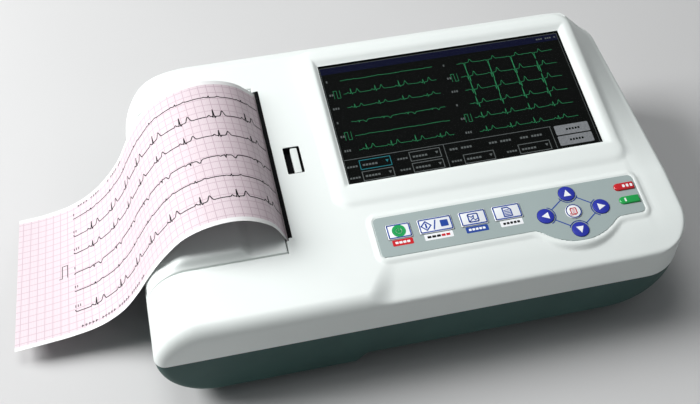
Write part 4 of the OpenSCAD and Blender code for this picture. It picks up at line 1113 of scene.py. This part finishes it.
# ---------------------------------------------------------------- display
def build_display():
    glass = prism(round_rect(SCREEN_X0 - 4, SCREEN_V0 - 4, SCREEN_X1 + 4, SCREEN_V1 + 4, 0.8, 4), -0.6, -0.06, SCREEN, "window_pane")
    finish_surface(glass)
    paint(glass, "glass")
    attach(glass, "case")
    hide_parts("screen_window")

    points, faces, inks, names = [], [], [], []

    def patch(outline, n, material):
        start, count = len(points), len(outline)
        if material not in names:
            names.append(material)
        points.extend(SCREEN @ Vector((p[0], p[1], h)) for h in (n, n + 0.04) for p in outline)
        faces.extend([tuple(start + i for i in range(count))[::-1], tuple(start + count + i for i in range(count))])
        faces.extend([(start + i, start + (i + 1) % count, start + count + (i + 1) % count, start + count + i)
                      for i in range(count)])
        inks.extend([names.index(material)] * (2 + count))

    def rect(x0, v0, x1, v1):
        return [(x0, v0), (x1, v0), (x1, v1), (x0, v1)]

    def box_line(x0, v0, x1, v1, material, width=0.45):
        for o in stroke(rect(x0, v0, x1, v1), width, True):
            patch(o, -1.40, material)

    left, right, bottom, top = SCREEN_X0 + 1.0, SCREEN_X1 - 1.0, SCREEN_V0 + 1.0, SCREEN_V1 - 1.0
    patch(rect(left, top - 5.2, right, top), -1.44, "title_lit")
    for k in range(10):
        patch(rect(right - 16 + 1.5 * k, top - 3.2, right - 15 + 1.5 * k, top - 2.2), -1.38, "text_lit" if k % 4 else "title_lit")
    panel_top = bottom + 17.5
    for o in stroke([(left, panel_top), (right - 27, panel_top)], 0.35):
        patch(o, -1.40, "text_lit")
    row_step = 10.6
    heights = ((0.9, 1.7, 1.5, 1.6, 0.9, 1.9), (1.0, 1.0, 1.0, 1.0, 1.9, 1.9))
    for column in (0, 1):
        x0 = left + 11 + 76 * column
        x1 = x0 + (60 if column == 0 else 64)
        for row in range(6):
            v = top - 11.5 - row_step * row - 1.0 * column
            lead = LEADS[row] if column == 0 else LEADS[(1, 1, 5, 2, 1, 5)[row]]
            size = heights[column][row] * (0.55 if column == 0 else 0.5)
            path, x = [], x0
            while x < x1:
                t = ((x - x0) / 15.5) % 1
                if column == 1 and row < 4:
                    h = beat(t, *CHEST_LEADS[row])
                else:
                    h = beat(t, *lead) * size
                path.append((x, v + h + 0.15 * math.sin(x / 3.1 + row)))
                x += 0.32
            for o in stroke(path, 0.24):
                patch(o, -1.40, "trace")
            for k in range(1 + row % 3):
                patch(rect(x0 - 9 + 1.5 * k, v - 0.2, x0 - 8.1 + 1.5 * k, v + 1.3), -1.40, "text_lit")
            if (column, row) in ((0, 1), (0, 4), (1, 1), (1, 4)):
                pulse = [(x0 - 6.2, v - 2.4), (x0 - 6.2, v + 3.4), (x0 - 4.2, v + 3.4), (x0 - 4.2, v - 2.4),
                         (x0 - 2.2, v - 2.4), (x0 - 2.2, v + 3.4)]
                for o in stroke(pulse, 0.22):
                    patch(o, -1.40, "trace")
    boxes = ((left + 9, bottom + 9.3, left + 28, bottom + 15.8, "teal_lit"), (left + 9, bottom + 1.3, left + 28, bottom + 7.6, "text_lit"),
             (left + 40, bottom + 9.3, left + 59, bottom + 15.8, "text_lit"), (left + 40, bottom + 1.3, left + 59, bottom + 7.6, "text_lit"),
             (left + 72, bottom + 1.3, left + 91, bottom + 7.6, "text_lit"), (left + 107, bottom + 1.6, left + 127, bottom + 8.2, "text_lit"))
    for x0, v0, x1, v1, tone in boxes:
        box_line(x0, v0, x1, v1, tone)
        patch([(x1 - 3.2, v1 - 2.2), (x1 - 1.2, v1 - 2.2), (x1 - 2.2, v1 - 4.0)][::-1], -1.38, tone)
        for k in range(5):
            patch(rect(x0 + 1.6 + 1.9 * k, v0 + 2.3, x0 + 3.0 + 1.9 * k, v0 + 3.6), -1.38, "text_lit")
        for k in range(4):
            patch(rect(x0 - 8 + 1.7 * k, v0 + 2.3, x0 - 6.8 + 1.7 * k, v0 + 3.5), -1.38, "text_lit")
    for x0 in (left + 65, left + 90, left + 110):
        for k in range(8):
            if k != 3:
                patch(rect(x0 + 1.8 * k, bottom + 12.2, x0 + 1.3 + 1.8 * k, bottom + 13.6), -1.38, "text_lit")
    for x in (left + 62, right - 27.5):
        for o in stroke([(x, bottom), (x, panel_top)], 0.35):
            patch(o, -1.40, "text_lit")
    for v0 in (bottom + 2.4, bottom + 10.3):
        patch(round_rect(right - 25, v0, right - 3, v0 + 7.0, 0.6, 3), -1.42, "button_lit")
        for k in range(5):
            patch(rect(right - 18 + 1.9 * k, v0 + 2.8, right - 16.7 + 1.9 * k, v0 + 4.2), -1.36, "lcd")
    box_line(left, bottom, right, top, "text_lit", 0.2)
    marks = mesh_from("display_image", points, faces)
    for name in names:
        marks.data.materials.append(MAT[name])
    marks.data.polygons.foreach_set("material_index", inks)
    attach(marks, "case")


# ---------------------------------------------------------------- small pieces
def build_tear_bar():
    low_v, high_v = -46.1, 63.2
    side = [(-73.4, -4.4), (-71.3, -4.4), (-71.3, 0.1), (-71.7, 0.4), (-72.6, 0.5), (-73.4, 0.0)]
    teeth = 110
    points, faces = [], []
    for k in range(2 * teeth + 1):
        v = low_v + (high_v - low_v) * k / (2 * teeth)
        for index, (u, n) in enumerate(side):
            drop = 0.25 * (k % 2) if index >= 3 else 0
            points.append(DECK @ Vector((u, v, n - drop)))
    count = len(side)
    for k in range(2 * teeth):
        faces += [(k * count + i, (k + 1) * count + i, (k + 1) * count + (i + 1) % count, k * count + (i + 1) % count)
                  for i in range(count)]
    faces += [tuple(range(count)), tuple(2 * teeth * count + i for i in range(count))[::-1]]
    bar = mesh_from("tear_edge", points, faces)
    finish_surface(bar, 30)
    paint(bar, "matt_black")
    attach(bar, "case")
    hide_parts("tear_bar")


def build_latch():
    knob = prism(round_rect(-60.4, -1.9, -56.2, 16.4, 0.7, 5), -5.2, -0.5, DECK, "latch_knob")
    crown(knob, 0.4)
    carve(knob, [block((-59.9 + 1.15 * k, -1.0, -0.75), (-59.5 + 1.15 * k, 15.5, 0), DECK) for k in range(4)])
    finish_surface(knob)
    paint(knob, "white")
    slider = block((-68, -5.6, -6.6), (-52, 20.1, -5.2), DECK)
    slider.name = "latch_plate"
    carve(slider, [block((-64, -57.8, -6.6), (-59.4, -2.6, -5.2), DECK),
                   block((-94.6, -57.8, -6.2), (-60, -56.4, -4.2), DECK),
                   block((-94.6, -56.4, -6.2), (-92.4, -52, -4.2), DECK)], "UNION")
    crown(slider, 0.2, 2)
    paint(slider, "matt_black")
    for piece in (knob, slider):
        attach(piece, "latch")
        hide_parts("latch_slider")
    # Painted shade: a thin black sleeve lines the latch window so the deep window reads dark; the real window walls are
    # white like the case.
    painted_shade_liner = prism(round_rect(-64.78, -2.58, -54.72, 17.08, 0.8), -4.9, -0.35, DECK, "latch_window_painted_shade")
    carve(painted_shade_liner, [prism(round_rect(-64.5, -2.3, -55.0, 16.8, 0.6), -6, 1, DECK)])
    finish_surface(painted_shade_liner)
    paint(painted_shade_liner, "matt_black")
    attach(painted_shade_liner, "case")


def lathe(profile, centre, name, count=48):
    """A round piece about a vertical axis from (radius, z) points."""
    rings = []
    for r, z in profile:
        rings.append([(centre[0] + r * math.cos(2 * math.pi * k / count), centre[1] + r * math.sin(2 * math.pi * k / count), z)
                      for k in range(count)])
    return loft(name, np.array(rings))


def build_feet():
    for node, height in (("tall_feet", 0.0), ("low_feet", -SUMP)):
        low, high = span(node)
        x = (low[0] + high[0]) / 2
        pieces = []
        for y in (low[1] + 9, high[1] - 9):
            r, z0, z1 = 8.98, low[2], high[2]
            round_edge = [(r - 1.2 + 1.2 * math.sin(a), z0 + 1.2 - 1.2 * math.cos(a)) for a in np.linspace(0, math.pi / 2, 6)]
            profile = [(5.2, z0 + 0.5), (5.8, z0)] + round_edge + [(r, z1)]
            pieces.append(lathe(profile, (x, y), node + "_pad"))
        first = pieces[0]
        bm = bmesh.new()
        for piece in pieces:
            bm.from_mesh(piece.data)
        bm.to_mesh(first.data)
        bm.free()
        bpy.data.objects.remove(pieces[1])
        finish_surface(first, 40)
        paint(first, "rubber")
        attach(first, "case")
        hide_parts(node)


CAD_MATERIALS = {
    "grey": "paper_bin", "lcd": "lcd_panel",
    "black": "paper_sensor speaker mains_inlet rocker_housing rocker_button",
    "steel": "lcd_frame hinge_pin platen_shaft idler_shaft stepper_motor head_pivot head_springs printer_frame "
             "latch_spring patient_connector network_port usb_port",
    "screw": "case_screws door_screws", "aluminium": "head_heatsink rating_plate",
    "brass": "platen_bushings motor_pinion ground_stud", "rubber": "platen_roller",
    "plain_paper": "paper_roll paper_web", "card": "roll_core", "board": "keypad_board main_board power_board",
    "cells": "battery_pack", "ceramic": "print_head", "nylon": "platen_gear idler_gear roll_spindle",
    "dark": "battery_door",
}


def dress_cad_nodes():
    for material, names in CAD_MATERIALS.items():
        for name in names.split():
            node = NODES[name]
            node.data.materials.clear()
            node.data.materials.append(MAT[material])


# ---------------------------------------------------------------- stage
def build_stage():
    floor_z = span("tall_feet")[0][2] * MM
    size = 6.0
    mesh = bpy.data.meshes.new("floor")
    mesh.from_pydata([(-size, -size, floor_z), (size, -size, floor_z), (size, size, floor_z), (-size, size, floor_z)],
                     [], [(0, 1, 2, 3)])
    floor = new_object("floor", mesh)
    material, tree, shader = principled("floor_white", (0.9, 0.9, 0.9), 0.9)
    tree.links.new(ramp_color(tree, noise(tree, 3, 2), (0.56, 0.56, 0.56), (0.59, 0.59, 0.59)), shader.inputs["Base Color"])
    mesh.materials.append(material)

    world = bpy.data.worlds.new("studio")
    bpy.context.scene.world = world
    world.use_nodes = True
    sky = world.node_tree
    coords = sky.nodes.new("ShaderNodeTexCoord")
    split = sky.nodes.new("ShaderNodeSeparateXYZ")
    sky.links.new(coords.outputs["Generated"], split.inputs[0])
    height = sky.nodes.new("ShaderNodeValToRGB")
    height.color_ramp.elements[0].position = 0.05
    height.color_ramp.elements[0].color = (0.012, 0.014, 0.015, 1)
    height.color_ramp.elements[1].position = 0.75
    height.color_ramp.elements[1].color = (0.20, 0.21, 0.215, 1)
    sky.links.new(split.outputs["Z"], height.inputs["Fac"])
    sky.links.new(height.outputs["Color"], sky.nodes["Background"].inputs["Color"])
    sky.nodes["Background"].inputs["Strength"].default_value = 1.0

    def area(name, place, aim, size, power):
        data = bpy.data.lights.new(name, "AREA")
        data.shape = "RECTANGLE"
        data.size, data.size_y = size
        data.energy = power
        lamp = bpy.data.objects.new(name, data)
        lamp.location = place
        lamp.rotation_euler = (Vector(aim) - Vector(place)).to_track_quat("-Z", "Y").to_euler()
        bpy.context.scene.collection.objects.link(lamp)

    area("key_light", (-1.25, 0.42, 1.0), (0, 0, 0.05), (0.8, 0.8), 33)
    area("top_light", (-0.25, 0.3, 1.6), (0, 0, 0.05), (0.8, 0.7), 8.5)

    place = Vector((-0.1353, -0.4383, 0.5746))
    aim = Vector((-0.0316, -0.0216, 0.057))
    roll = math.radians(1.10)
    data = bpy.data.cameras.new("view")
    data.sensor_width = 36
    data.lens = 58.1
    data.clip_start = 0.01
    camera = bpy.data.objects.new("view", data)
    back = (place - aim).normalized()
    right = Vector((0, 0, 1)).cross(back).normalized()
    up = back.cross(right)
    right, up = right * math.cos(roll) + up * math.sin(roll), up * math.cos(roll) - right * math.sin(roll)
    camera.matrix_world = Matrix((
        (right.x, up.x, back.x, place.x), (right.y, up.y, back.y, place.y),
        (right.z, up.z, back.z, place.z), (0, 0, 0, 1)))
    bpy.context.scene.collection.objects.link(camera)
    bpy.context.scene.camera = camera
    bpy.context.scene.view_settings.view_transform = "Standard"


build_stage()
build_top()
build_film()
build_keys()
build_film_marks()
build_leds()
build_cover()
build_base()
build_strip()
build_display()
build_tear_bar()
build_latch()
build_feet()
dress_cad_nodes()
